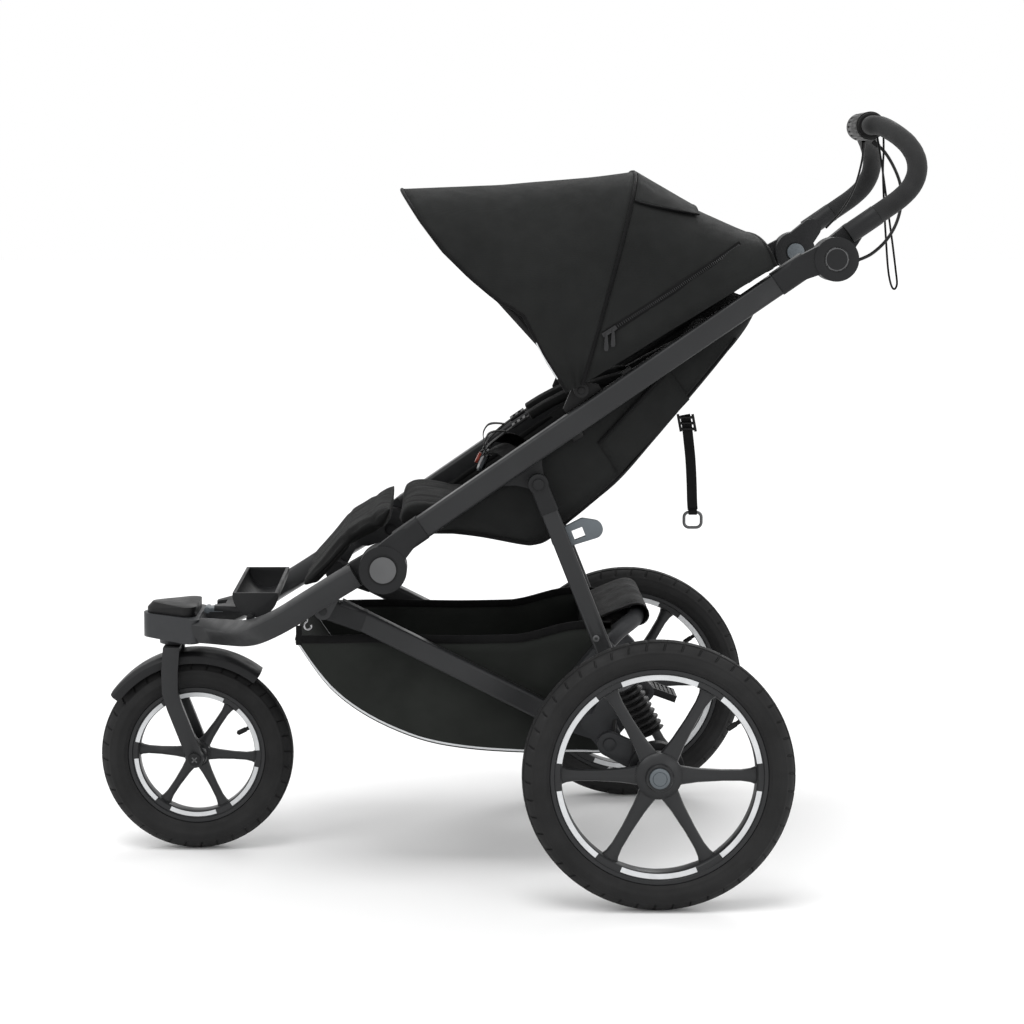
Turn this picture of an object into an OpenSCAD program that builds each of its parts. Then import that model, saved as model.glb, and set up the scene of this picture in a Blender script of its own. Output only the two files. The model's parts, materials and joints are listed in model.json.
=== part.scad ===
// Three-wheeled folding jogging stroller, in millimetres.
// +X points back towards the person pushing, +Y across, +Z up.
// Points are first given from the rear axle (X) and the ground (Z); place() moves them to the
// part's own frame, whose origin is on the ground under the middle of the whole stroller.

/* [Wheels] */
// Distance from the front axle to the rear axles
wheelbase = 709; // [660:1:860]
// Distance between the middles of the rear wheels
track = 640; // [630:1:780]
// Diameter of a rear wheel over its tyre
rear_wheel_d = 400; // [360:1:480]
// Width of a rear tyre
rear_tyre_w = 47; // [38:1:52]
// Diameter of the front wheel over its tyre
front_wheel_d = 307; // [256:1:330]
// Width of the front tyre
front_tyre_w = 50; // [40:1:54]
// How far the front axle trails behind the swivel axis
trail = 32; // [20:1:45]

/* [Frame] */
// Distance between the middles of the two main tubes
frame_w = 410; // [400:1:480]
// Distance between the middles of the two lower rails
rail_spread = 340; // [334:1:346]
// Main tube width across the stroller
tube_w = 30; // [26:1:32]
// Main tube height
tube_h = 34; // [30:1:40]
// Lower rail width
rail_w = 28; // [24:1:30]
// Lower rail height
rail_h = 31; // [26:1:36]
// Rear leg depth, seen from the side
leg_d = 26; // [22:1:30]
// Rear leg thickness across the stroller
leg_t = 16; // [12:1:17]
// Distance from the fold hinge to the handlebar hinge
main_len = 817; // [800:1:980]
// Slope of the line from the fold hinge to the handlebar hinge, in degrees
main_angle = 34.6; // [32:0.1:40]
// Fold hinge, distance in front of the rear axle
fold_back = 405; // [380:1:430]
// Fold hinge, height above the ground
fold_z = 485.7; // [470:0.1:520]

/* [Handlebar] */
// Diameter of the foam grip
grip_d = 30; // [26:1:34]
// Radius of a handlebar hinge
handle_hinge_r = 33; // [30:1:36]
// Radius of a fold hinge
fold_hinge_r = 36; // [32:1:38]
// Radius of the twist brake knob
knob_r = 22; // [18:1:26]
// Length of the twist brake knob
knob_len = 90; // [70:1:96]

/* [Soft goods] */
// Wall of the canopy fabric with its lining
fabric_t = 4; // [3:0.5:5]
// Wall of the basket
basket_t = 4; // [3:0.5:6]
// Thickness of the backrest pad
pad_t = 20; // [14:1:26]

/* [Fits] */
// Gap between a turning part and its neighbour
gap = 1; // [0.5:0.1:1.5]
// Radial clearance of a pin in its bore
fit = 0.1; // [0.05:0.05:0.3]

/* [Hidden] */
$fn = 48;
HULL_FN = 32;
EPS = 0.01;

// ---- Main places, as [X from the rear axle, Z from the ground] ----
rear_r = rear_wheel_d / 2;
front_r = front_wheel_d / 2;
half = frame_w / 2;
rail_y = rail_spread / 2;
wheel_y = track / 2;
F = [-fold_back, fold_z];
main_dir = [cos(main_angle), sin(main_angle)];
main_up = [-sin(main_angle), cos(main_angle)];
function on_main(u, w) = F + u * main_dir + w * main_up;
H = on_main(main_len, 0);
tube_rise = 18;                      // main tube middle above the line between its hinges
L = F + [-91, -65.2];                // front pivot of the lower rail
leg_along = 264;
leg_drop = 26.3;
P = on_main(leg_along, -leg_drop);   // top of the rear leg
S = [-70.9, rear_r + 156.8];         // bottom of the rear leg
swing_pivot = [-68.7, rear_r + 34.1];
rail_rear = [-150, rear_r + 56];
shock_top = [-50, rear_r + 130];
shock_low = [3, rear_r + 34];
pedal_pivot = [-8, rear_r + 92];
swivel_x = -wheelbase - trail;
head_z = front_wheel_d + 55;
grip_reach = 140;                    // handlebar hinge to the rearmost face of the grip
rear_x = (wheelbase + front_r - (H.x + grip_reach)) / 2;

// ---- Layers across the stroller, as distances from the middle plane ----
tube_in = half - tube_w / 2;
tube_out = half + tube_w / 2;
disc_split = half + 0.5;             // between the inner and the outer hinge discs
disc_out = half + 21;
disc_in = half - 20;
rail_in = rail_y - rail_w / 2;
rail_out = rail_y + rail_w / 2;
leg_out = tube_out;
leg_in = leg_out - leg_t;
tower_in = leg_out + 5;
tower_out = tower_in + 10;
arm_in = wheel_y - 58;
arm_out = arm_in + 14;
drum_out = wheel_y - rear_tyre_w / 2 - 1;
shock_y = arm_in - 10;
hub_half = 22;

// ---- Small helpers ----
module place() { translate([rear_x, 0, 0]) children(); }
module at(p) { translate([p.x, 0, p.y]) children(); }
module both() { children(); mirror([0, 1, 0]) children(); }
module on_side(s) { if (s < 0) children(); else mirror([0, 1, 0]) children(); }
module in_main() { at(F) rotate([0, -main_angle, 0]) children(); }

// Round disc or pin along Y, from y0 to y1
module disc_y(r, y0, y1) {
    translate([0, y0, 0]) rotate([-90, 0, 0]) cylinder(r = r, h = y1 - y0);
}

// Rectangle with round corners, centred
module round_rect(w, h, r) {
    square([w - 2 * r, h], center = true);
    square([w, h - 2 * r], center = true);
    for (i = [-1, 1], j = [-1, 1]) translate([i * (w / 2 - r), j * (h / 2 - r)]) circle(r = r);
}

// Bar with a round-cornered section, from x = 0 along +X
module bar_x(len, h, w, r) {
    rotate([0, 90, 0]) linear_extrude(height = len) round_rect(h, w, r);
}

// Bar along +X between two places of the side view, centred on y
module bar_between(a, b, h, w, r, y) {
    translate([a.x, y, a.y]) rotate([0, -atan2(b.y - a.y, b.x - a.x), 0]) bar_x(norm(b - a), h, w, r);
}

// Side-view outline drawn in X and Z, extruded from y0 to y1
module plate_y(y0, y1) {
    translate([0, y1, 0]) rotate([90, 0, 0]) linear_extrude(height = y1 - y0) children();
}

function unit(v) = v / norm(v);
function mix(a, b, t) = a + (b - a) * t;
function curve_at(p, i, t) = let (
        a = p[max(i - 1, 0)], b = p[i], c = p[i + 1], d = p[min(i + 2, len(p) - 1)])
    0.5 * (2 * b + (c - a) * t + (2 * a - 5 * b + 4 * c - d) * t * t
        + (3 * b - a - 3 * c + d) * t * t * t);
// Smooth curve through hand-chosen points, n steps between neighbours
function smooth(p, n) = [for (i = [0:len(p) - 2]) for (j = [0:n - 1]) curve_at(p, i, j / n),
    p[len(p) - 1]];
function ring_points(r, n) = [for (k = [0:n - 1]) r * [cos(360 * k / n), sin(360 * k / n)]];
// Rounded rectangle as points, a half-widths and b half-heights
function box_points(a, b, r) = [for (k = [0:3]) for (t = [0, 45, 90])
    let (sx = (k == 0 || k == 3) ? 1 : -1, sy = k < 2 ? 1 : -1)
    [sx * (a - r) + r * cos(k * 90 + t), sy * (b - r) + r * sin(k * 90 + t)]];

// Solid swept along a path; ref must never run along the path
module sweep(path, profile, ref) {
    n = len(profile);
    m = len(path);
    pts = [for (i = [0:m - 1]) let (
            t = unit(path[min(i + 1, m - 1)] - path[max(i - 1, 0)]),
            a = unit(cross(ref, t)), b = cross(t, a))
        for (q = profile) path[i] + q.x * a + q.y * b];
    sides = [for (i = [0:m - 2]) for (j = [0:n - 1]) let (
            a = i * n + j, b = i * n + (j + 1) % n, c = b + n, d = a + n)
        each [[a, d, c], [a, c, b]]];
    start = [for (j = [0:n - 1]) j];
    finish = [for (j = [n - 1:-1:0]) (m - 1) * n + j];
    polyhedron(points = pts, faces = concat(sides, [start], [finish]), convexity = 6);
}

// Closed sheet between an outer and an inner grid of points, rows from front to back
module sheet(outer, inner) {
    m = len(outer);
    n = len(outer[0]);
    o = m * n;
    pts = [for (row = outer) each row, for (row = inner) each row];
    skin = [for (i = [0:m - 2]) for (j = [0:n - 2]) let (
            a = i * n + j, b = a + 1, d = a + n, c = d + 1)
        each [[a, b, c], [a, c, d], [a + o, c + o, b + o], [a + o, d + o, c + o]]];
    long_edges = [for (i = [0:m - 2]) let (a = i * n, d = a + n, b = a + n - 1, c = b + n)
        each [[a, d, d + o], [a, d + o, a + o], [c, b, b + o], [c, b + o, c + o]]];
    e = (m - 1) * n;
    short_edges = [for (j = [0:n - 2])
        each [[j + 1, j, j + o], [j + 1, j + o, j + 1 + o],
            [e + j, e + j + 1, e + j + 1 + o], [e + j, e + j + 1 + o, e + j + o]]];
    polyhedron(points = pts, faces = concat(skin, long_edges, short_edges), convexity = 6);
}

// ---- Chassis: lower rails, rear castings, basket ----
rail_front = L + [22, -2];
pin_r = 6;

module lower_rails() {
    place() color("#3c3e41") both()
        bar_between(rail_front, rail_rear, rail_h, rail_w, 6, -rail_y);
}

module rail_end_fittings() {
    nose_r = rail_h / 2 + 1.5;
    place() color("#26282a") both() {
        difference() {
            union() {
                at(L) disc_y(nose_r, -rail_out - 1, -rail_in + 1);
                bar_between(L, mix(rail_front, rail_rear, 0.12), rail_h + 2, rail_w + 1, 6, -rail_y);
            }
            bar_between(rail_front, rail_rear, rail_h, rail_w, 6, -rail_y);
        }
        at(L) disc_y(pin_r, -tube_out + 10, -rail_out + 2);
    }
}

module rear_castings() {
    place() color("#33363a") both() difference() {
        union() {
            hull() {
                at(S) disc_y(14, -rail_out, -rail_in);
                at(pedal_pivot) disc_y(13, -rail_out, -rail_in);
                at(swing_pivot) disc_y(20, -rail_out, -rail_in);
                at(rail_rear + [4, 2]) disc_y(rail_h / 2 + 3, -rail_out, -rail_in);
            }
            // foot of the shock tower, below the path of the leg
            hull() {
                at(swing_pivot) disc_y(20, -tower_out, -rail_in - 1);
                at(swing_pivot + [-26, 22]) disc_y(14, -tower_out, -rail_in - 1);
            }
            hull() {
                at(swing_pivot + [-10, 16]) disc_y(20, -tower_out, -tower_in);
                at(shock_top) disc_y(13, -tower_out, -tower_in);
            }
            at(shock_top) disc_y(6, -shock_y - 14, -tower_in);
            at(swing_pivot) disc_y(9, -arm_out - 2, -tower_in);
        }
        bar_between(rail_front, rail_rear, rail_h, rail_w, 6, -rail_y);
        at(pedal_pivot) disc_y(5 + fit, -rail_out - 1, -rail_in + 1);
    }
}

cross_r = 13;
module rear_cross_tube() {
    y = rail_in - cross_r - 0.5;
    path = [for (p = [[-71, -y, 345], [-62, -y, 362], [-46, -y + 3, 378], [-28, -y + 16, 389],
        [-17, -y + 36, 394], [-15, -y + 66, 396], [-15, 0, 396]]) p + [0, 0, rear_r - 200]];
    full = concat(smooth(path, 3), [for (q = smooth([for (i = [5:-1:0])
        [path[i].x, -path[i].y, path[i].z]], 3)) q]);
    place() color("#2b2d30") {
        sweep(full, ring_points(cross_r, 16), [1, 0, 0.2]);
        both() at([-71, rear_r + 148]) disc_y(cross_r, -rail_in, -y + cross_r);
    }
}

basket_half = rail_in - 5;
basket_side = [[-538, 368], [-535, 352], [-489, 289], [-428, 243], [-351, 209], [-275, 194],
    [-183, 189], [-61, 189], [-58, 222], [-92, 268], [-92, 384], [-336, 366]];
module basket() {
    t = basket_t;
    inner = [[-545, 420], [-529, 353], [-485, 293], [-426, 248], [-350, 214], [-275, 199],
        [-183, 194], [-66, 194], [-63, 221], [-97, 267], [-97, 420]];
    place() color("#4a4f4b") difference() {
        plate_y(-basket_half, basket_half) polygon(basket_side);
        plate_y(-basket_half + t, basket_half - t) polygon(inner);
    }
}

// Shock axis, drawn along +Z from its lower end
module along_shock() {
    d = shock_top - shock_low;
    at(shock_low) rotate([0, atan2(d.x, d.y), 0]) children();
}
shock_len = norm(shock_top - shock_low);
boot_r = 16;
boot_ribs = 8;
module spring_boots() {
    h = shock_len - 32;
    rib = h / boot_ribs;
    place() color("#2e3033") both() translate([0, -shock_y, 0]) along_shock() rotate_extrude()
        polygon([[boot_r - 5, 18], for (k = [0:boot_ribs - 1]) each [
            [boot_r - 2.5, 18 + k * rib], [boot_r, 18 + (k + 0.5) * rib]],
            [boot_r - 2.5, 18 + h], [boot_r - 5, 18 + h]]);
}

module suspension_springs() {
    h = shock_len - 34;
    turns = 6;
    wire = 1.6;
    path = [for (k = [0:turns * 10]) let (a = 36 * k)
        [8 * cos(a), 8 * sin(a), 19 + wire + (h - 2 * wire) * k / (turns * 10)]];
    place() color("silver") both() translate([0, -shock_y, 0]) along_shock()
        sweep(path, ring_points(wire, 6), [0, 0, 1]);
}

// ---- Parking brake pedal ----
module brake_pedal() {
    w = 56;
    y1 = -rail_in + 1 + w;
    place() color("#1e2022") at(pedal_pivot) {
        disc_y(5, -rail_out, -rail_in + 3);
        difference() {
            union() {
                disc_y(10, -rail_in + 1, y1);
                rotate([0, 20, 0]) translate([5, -rail_in + 2, -5.5]) cube([47, w - 2, 10.5]);
            }
            rotate([0, 20, 0]) for (k = [0:4])
                translate([16 + k * 7, -rail_in + 5, 3]) cube([3, w - 8, 3]);
        }
    }
}

// ---- Rear suspension arms, drums and wheels ----
axle_r = 6;
module swing_arm(s) {
    place() color("#2f3235") on_side(s) {
        difference() {
            hull() {
                at(swing_pivot) disc_y(18, -arm_out, -arm_in);
                at([0, rear_r]) disc_y(20, -arm_out, -arm_in);
            }
            at(swing_pivot) disc_y(9 + fit, -arm_out - 1, -arm_in + 1);
        }
        at([0, rear_r]) disc_y(axle_r, -wheel_y - hub_half + 9, -arm_in);
        at(shock_low + [0, -14]) disc_y(7, -arm_out + 4, -shock_y + 8);
        at([0, rear_r]) hull() {
            translate([3, 0, 12]) disc_y(7, -arm_out, -arm_in);
            translate([3, 0, 20]) disc_y(7, -arm_out, -arm_in);
        }
    }
}
module swing_arm_left() { swing_arm(-1); }
module swing_arm_right() { swing_arm(1); }

module brake_drum(s) {
    place() color("#232527") on_side(s) at([0, rear_r]) difference() {
        union() {
            disc_y(41, -drum_out + 2, -arm_out);
            // cable stop and lever on the front of the drum
            translate([-58, -arm_out - 10, -12]) cube([24, 7, 9]);
            translate([-36, -arm_out - 9, 10]) cube([12, 5, 26]);
        }
        disc_y(axle_r, -drum_out - 1, -arm_out + 1);
    }
}
module brake_drum_left() { brake_drum(-1); }
module brake_drum_right() { brake_drum(1); }

// Tyre section: a round crown on straight side walls that reach the rim
module tyre(d, w, rim_r) {
    c = d / 2 - w / 2;
    rotate([-90, 0, 0]) rotate_extrude($fn = 96) {
        difference() {
            union() {
                translate([c, 0]) circle(r = w / 2);
                polygon([[rim_r, -w * 0.34], [c, -w / 2], [c, w / 2], [rim_r, w * 0.34]]);
            }
            translate([0, -w]) square([rim_r, 2 * w]);
        }
    }
}

// Six-spoke moulded rim, its middle at the origin and its axle along Y
module rim(rim_r, rim_in, w, hub_r, hub_w, spoke_hub, spoke_rim, turn) {
    spoke_t = 13;
    difference() {
        union() {
            rotate([-90, 0, 0]) rotate_extrude($fn = 96) polygon([
                [rim_in, -w / 2 + 5], [rim_in + 3, -w / 2], [rim_r - 5, -w / 2],
                [rim_r, -w / 2 + 2], [rim_r, w / 2 - 2], [rim_r - 5, w / 2],
                [rim_in + 3, w / 2], [rim_in, w / 2 - 5]]);
            disc_y(hub_r, -hub_w / 2, hub_w / 2);
            for (k = [0:5]) rotate([0, turn + 60 * k, 0]) plate_y(-spoke_t / 2, spoke_t / 2)
                polygon([[hub_r - 6, -spoke_hub / 2], [rim_in + 2, -spoke_rim / 2],
                    [rim_in + 2, spoke_rim / 2], [hub_r - 6, spoke_hub / 2]]);
        }
        disc_y(axle_r + fit, -hub_w, hub_w);
    }
}

rear_rim_r = rear_r - 40;
front_rim_r = front_r - 43.5;
module rear_tyre(s) {
    place() color("#2c2c2c") on_side(s) translate([0, -wheel_y, rear_r])
        tyre(rear_wheel_d, rear_tyre_w, rear_rim_r);
}
module rear_rim(s) {
    place() color("#3f4144") on_side(s) translate([0, -wheel_y, rear_r])
        difference() {
            rim(rear_rim_r, rear_rim_r - 18, 30, 34, 2 * hub_half, 27, 19, 0);
            // pocket for the release button
            disc_y(15 + 0.3, -hub_half - 1, -hub_half + 8);
        }
}
module rear_tyre_left() { rear_tyre(-1); }
module rear_tyre_right() { rear_tyre(1); }
module rear_rim_left() { rear_rim(-1); }
module rear_rim_right() { rear_rim(1); }

module hub_button(s) {
    place() color("#5c666c") on_side(s) translate([0, -wheel_y, rear_r])
        disc_y(15, -hub_half - 3.5, -hub_half + 3);
}
module hub_button_left() { hub_button(-1); }
module hub_button_right() { hub_button(1); }

// ---- Front frame ----
head_entry = [swivel_x + 38, 55, head_z];
front_run = [[-42, 0, -10], [-75, 0, -30], [-115, 0, -55], [-151, -2, -78]];
head_run = [[113, 133, 27], [85, 95, 14], [55, 49, 6], [27, 13, 1], [0, 0, 0]];
front_path = concat(
    [for (p = front_run) [F.x + p.x, -half - p.y, F.y + p.z]],
    [for (p = head_run) [head_entry.x + p.x, -head_entry.y - p.y, head_entry.z + p.z]]);

module front_tubes() {
    place() color("#44474a") both() {
        difference() {
            union() {
                sweep(smooth(front_path, 4), box_points(tube_h / 2, tube_w / 2, 6), [0, 1, 0.3]);
                // ear under the tube, for the front pivot of the lower rail
                plate_y(-tube_out + 11, -tube_in + 3) hull() {
                    translate(L) circle(r = 13, $fn = HULL_FN);
                    translate(L + [-6, 26]) circle(r = 8, $fn = HULL_FN);
                    translate(L + [24, 34]) circle(r = 8, $fn = HULL_FN);
                }
            }
            at(L) disc_y(pin_r + fit, -tube_out + 9, -rail_out);
        }
    }
}

module front_hinge_shells() {
    neck = F + [-40, -9];
    place() color("#2a2c2e") both() difference() {
        union() {
            at(F) disc_y(fold_hinge_r, -disc_split + gap / 2, -disc_in);
            hull() {
                at(F + [-8, 6]) disc_y(22, -disc_split + gap / 2, -disc_in);
                at(neck) disc_y(19, -disc_split + gap / 2, -disc_in);
            }
        }
        at(F) disc_y(10 + fit, -disc_out, -disc_in + 1);
        sweep(smooth(front_path, 4), box_points(tube_h / 2, tube_w / 2, 6), [0, 1, 0.3]);
    }
}

head_top = 20;                       // top of the head bracket, above the tubes' middle
module head_bracket() {
    place() color("#3a3d40") difference() {
        union() {
            hull() {
                translate([swivel_x - 26, 0, head_z - 18])
                    cylinder(r = 26, h = head_top + 18, $fn = HULL_FN);
                for (y = [-1, 1]) translate([swivel_x + 28, y * 50, head_z - 21])
                    cylinder(r = 14, h = head_top + 21, $fn = HULL_FN);
                for (y = [-1, 1]) translate([swivel_x + 34, y * 60, head_z - 18])
                    cylinder(r = 9, h = 36, $fn = HULL_FN);
            }
            translate([swivel_x, 0, head_z - 29]) cylinder(r = 27, h = 14);
        }
        translate([swivel_x, 0, head_z - 40]) cylinder(r = 12 + fit, h = 50);
        both() sweep(smooth(front_path, 4), box_points(tube_h / 2 + EPS, tube_w / 2 + EPS, 6),
            [0, 1, 0.3]);
    }
}

module head_cover() {
    base = head_z + head_top + 0.3;
    place() color("#1b1c1d") hull() {
        translate([swivel_x - 22, 0, base]) cylinder(r = 24, h = 8, $fn = HULL_FN);
        for (y = [-1, 1]) translate([swivel_x + 22, y * 40, base])
            cylinder(r = 14, h = 15, $fn = HULL_FN);
        translate([swivel_x - 20, 0, head_z + 30]) cylinder(r = 18, h = 7, $fn = HULL_FN);
    }
}

lock_pivot = [swivel_x + 50, head_z + 24];
module swivel_lock() {
    place() color("#5c666c") at(lock_pivot) {
        disc_y(5, -14, 14);
        translate([0, -12, -3]) cube([24, 24, 6]);
    }
}

module footrest() {
    cup_x = swivel_x + 136;
    cup_z = head_z + 68;
    r = 35;
    lip = 3;
    place() color("#222426") {
        // foot plate between the two front tubes
        difference() {
            hull() {
                translate([swivel_x + 66, 0, head_z + 30]) cube([6, 60, 8], center = true);
                translate([cup_x - 18, 0, head_z + 37]) cube([6, 150, 8], center = true);
            }
            translate([swivel_x + 40, -16, head_z]) cube([40, 32, 60]);
        }
        // heel cup, open at the top
        difference() {
            translate([cup_x, 0, cup_z]) disc_y(r, -122, 122);
            translate([cup_x, 0, cup_z]) disc_y(r - 5, -117, 117);
            translate([cup_x - 60, -123, cup_z + lip]) cube([120, 246, 60]);
        }
        both() at([cup_x - 6, cup_z - 33]) disc_y(6, -144.5, -118);
    }
}

// ---- Fork and front wheel ----
blade_y = 39;
blade_t = 11;
module fork() {
    side = [[swivel_x - 17, head_z - 30], [swivel_x - 20, head_z - 70], [swivel_x - 19, head_z - 104],
        [swivel_x - 11, head_z - 130], [swivel_x + 18, front_r + 4], [swivel_x + 44, front_r + 4],
        [swivel_x + 12, head_z - 122], [swivel_x + 6, head_z - 104], [swivel_x + 6, head_z - 70],
        [swivel_x + 9, head_z - 30]];
    place() color("#4a4d50") {
        both() difference() {
            union() {
                plate_y(-blade_y - blade_t / 2, -blade_y + blade_t / 2) polygon(side);
                at([-wheelbase, front_r]) disc_y(14, -blade_y - blade_t / 2, -blade_y + blade_t / 2);
            }
            at([-wheelbase, front_r]) disc_y(axle_r, -blade_y - 20, -blade_y + 20);
        }
        plate_y(-blade_y, blade_y) polygon([[swivel_x - 17, head_z - 30],
            [swivel_x - 18, head_z - 40], [swivel_x + 8, head_z - 40], [swivel_x + 9, head_z - 30]]);
        translate([swivel_x, 0, head_z - 40]) cylinder(r = 12, h = 48);
    }
}

module front_fender() {
    place() color("#393c3f") translate([-wheelbase, 0, front_r]) {
        // the arc runs from behind the tyre's top to its front
        rotate([90, 0, 0]) rotate([0, 0, 52]) rotate_extrude(angle = 92, $fn = 96) difference() {
            polygon([[150, -31], [162, -31], [167.5, -24], [168.5, 0], [167.5, 24], [162, 31],
                [150, 31]] + [for (k = [0:6]) [front_r - 153.5, 0]]);
            polygon([[149, -28.5], [161, -28.5], [165, -23], [166, 0], [165, 23], [161, 28.5],
                [149, 28.5]] + [for (k = [0:6]) [front_r - 153.5, 0]]);
        }
    }
}

module front_axle() {
    place() color("silver") at([-wheelbase, front_r]) {
        disc_y(axle_r, -blade_y - blade_t / 2 - 1, blade_y + blade_t / 2 + 1);
        both() disc_y(9, -blade_y - blade_t / 2 - 5, -blade_y - blade_t / 2);
    }
}

module front_tyre() {
    place() color("#2c2c2c") translate([-wheelbase, 0, front_r])
        tyre(front_wheel_d, front_tyre_w, front_rim_r);
}
module front_rim() {
    place() color("#3f4144") translate([-wheelbase, 0, front_r])
        rim(front_rim_r, front_rim_r - 18, 32, 21, 60, 20, 15, 4);
}

// ---- Upper frame, in the main tubes' own line from the fold hinge to the handlebar hinge ----
module main_tubes() {
    start = fold_hinge_r + 4;
    stop = main_len - handle_hinge_r - 4;
    place() color("#404346") both() in_main() translate([start, -half, tube_rise])
        bar_x(stop - start, tube_h, tube_w, 6);
}

// Sleeve around the tube's end with a disc on the hinge, in the outer layer
module hinge_shell(r, toward, sleeve) {
    s = toward;
    difference() {
        union() {
            disc_y(r, -disc_out, -disc_split - gap / 2);
            hull() {
                translate([s * 8, 0, 10]) disc_y(r - 12, -disc_out + 2, -disc_split - gap / 2);
                translate([s * (r + 16), 0, tube_rise])
                    disc_y(tube_h / 2 + 1, -tube_out - 1.5, -disc_split - gap / 2);
            }
            translate([s > 0 ? r + 5 : -sleeve, -half, tube_rise])
                bar_x(sleeve - r - 5, tube_h + 3, tube_w + 3, 7);
        }
        translate([s > 0 ? r + 4 : -sleeve - 1, -half, tube_rise])
            bar_x(sleeve - r - 3, tube_h, tube_w, 6);
        disc_y(r * 0.55, -disc_out - 1, -disc_out + 4);
    }
}

module upper_hinge_shells() {
    place() color("#303235") both() in_main() {
        hinge_shell(fold_hinge_r, 1, 84);
        disc_y(10, -disc_split - gap / 2, -disc_in - 3);
    }
}

module handle_hinge_shells() {
    place() color("#303235") both() in_main() translate([main_len, 0, 0]) {
        hinge_shell(handle_hinge_r, -1, 92);
        disc_y(8, -disc_split - gap / 2, -disc_in - 12);
    }
}

module hinge_caps() {
    place() color("#6b6e70") both() {
        at(F) disc_y(fold_hinge_r * 0.55, -disc_out - 1.5, -disc_out + 4);
        at(H) disc_y(handle_hinge_r * 0.55, -disc_out - 0.5, -disc_out + 4);
    }
}

pivot_r = 5;
bracket_out = leg_in - gap;
tube_bottom = tube_rise - tube_h / 2;
module leg_brackets() {
    place() color("#2a2c2e") both() in_main() {
        plate_y(-bracket_out, -tube_in - 1) polygon([[leg_along - 48, tube_bottom], [leg_along - 30, -10],
            [leg_along - 8, -leg_drop - 8], [leg_along + 8, -leg_drop - 8],
            [leg_along + 20, -8], [leg_along + 26, tube_bottom]]);
        translate([leg_along, 0, -leg_drop]) {
            disc_y(pivot_r, -leg_out - 2, -bracket_out);
            disc_y(8, -leg_out - 5, -leg_out - gap);
        }
    }
}

hub_u = 396;
hub_w = 53;
module canopy_mounts() {
    place() color("#1d1f21") both() in_main() {
        difference() {
            hull() {
                translate([hub_u, 0, hub_w]) disc_y(13, -mid_half + 4, -tube_in - 1);
                translate([hub_u - 6, -tube_in - 5.5, tube_rise + tube_h / 2 + 5])
                    cube([64, 8, 8], center = true);
            }
            translate([hub_u - 60, -half, tube_rise]) bar_x(120, tube_h + 1, tube_w + 1, 6);
        }
        translate([hub_u, 0, hub_w]) disc_y(5, -half - 11, -tube_in);
        // rear clip that holds the canopy's hem down to the tube
        translate([hub_u + 72, -half, tube_rise + tube_h / 2 + 3]) cube([16, 14, 6], center = true);
    }
}

// ---- Seat, hung between the main tubes; side view as [along, above] the hinge line ----
sling_half = tube_in - 3;
back_half = 115;
back_panel = [[240, -110], [300, -122], [390, -112], [480, -89], [560, -60], [600, -32]];
sling_out = [[70, 12], [86, 2], [142, -49], [198, -102], [222, -113], [262, -108], [378, -94],
    [470, -69], [584, -37], [663, -11], [690, 12]];
module seat_sling() {
    t = 6;
    inner = [[60, 20], [96, 4], [148, -43], [202, -95], [223, -106], [262, -101], [377, -87],
        [468, -62], [582, -30], [661, -4], [675, 20]];
    place() color("#3d403f") in_main() difference() {
        union() {
            plate_y(-sling_half, sling_half) polygon(sling_out);
            // stiff panel that stands proud in the middle of the back
            plate_y(-back_half, back_half) polygon(back_panel);
        }
        plate_y(-sling_half + t, sling_half - t) polygon(inner);
    }
}

pad_half = sling_half - 14;
module seat_pad() {
    place() color("#2b2d2e") in_main() plate_y(-pad_half, pad_half)
        polygon([[64, 42], [60, 30], [98, 5], [150, -41], [204, -92], [224, -84], [150, -14], [92, 30]]);
}

module calf_rest() {
    place() color("#323435") in_main() plate_y(-pad_half + 25, pad_half - 25)
        polygon([[60, 50], [36, 56], [-28, 58], [-76, 54], [-100, 46], [-128, 28], [-130, 18],
            [-74, 38], [-27, 44], [34, 36]]);
}

recline = [223, -96];
module backrest_pad() {
    place() color("#2b2d2e") in_main() plate_y(-pad_half, pad_half)
        polygon([[232, -84], [238, -102], [262, -99], [378, -85], [467, -60], [582, -28], [648, -8],
            [640, pad_t - 10], [572, pad_t - 30], [456, pad_t - 62], [374, pad_t - 86], [262, pad_t - 98]]);
}

module harness_straps() {
    place() color("#151617") in_main() {
        both() {
            // shoulder strap with its pad
            plate_y(-76, -38) polygon([[560, 2], [470, 10], [380, 38], [300, 44], [240, 46],
                [242, 51], [300, 50], [382, 44], [470, 16], [556, 8]]);
            plate_y(-82, -32) polygon([[470, 18], [380, 46], [310, 52], [314, 60], [382, 54], [470, 26]]);
            // waist strap
            translate([236, -pad_half, 28]) cube([25, pad_half - 26, 3]);
        }
        // crotch strap
        plate_y(-14, 14) polygon([[185, -40], [204, 18], [209, 16], [191, -42]]);
    }
}

buckle = [186, 20];
module harness_buckle() {
    place() color("#6a7378") in_main() difference() {
        translate([buckle.x, -24, buckle.y]) rotate([0, -30, 0]) translate([0, 0, -6]) cube([40, 48, 12]);
        translate([buckle.x, 0, buckle.y]) rotate([0, -30, 0]) translate([20, 0, 2]) cylinder(r = 9.3, h = 10);
    }
}
module harness_button() {
    place() color("#b8442f") in_main() translate([buckle.x, 0, buckle.y]) rotate([0, -30, 0])
        translate([20, 0, 4.5]) cylinder(r = 9, h = 4);
}

// Strap that hangs from the back of the seat, with a ring to pull
strap_w = 16;
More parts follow.
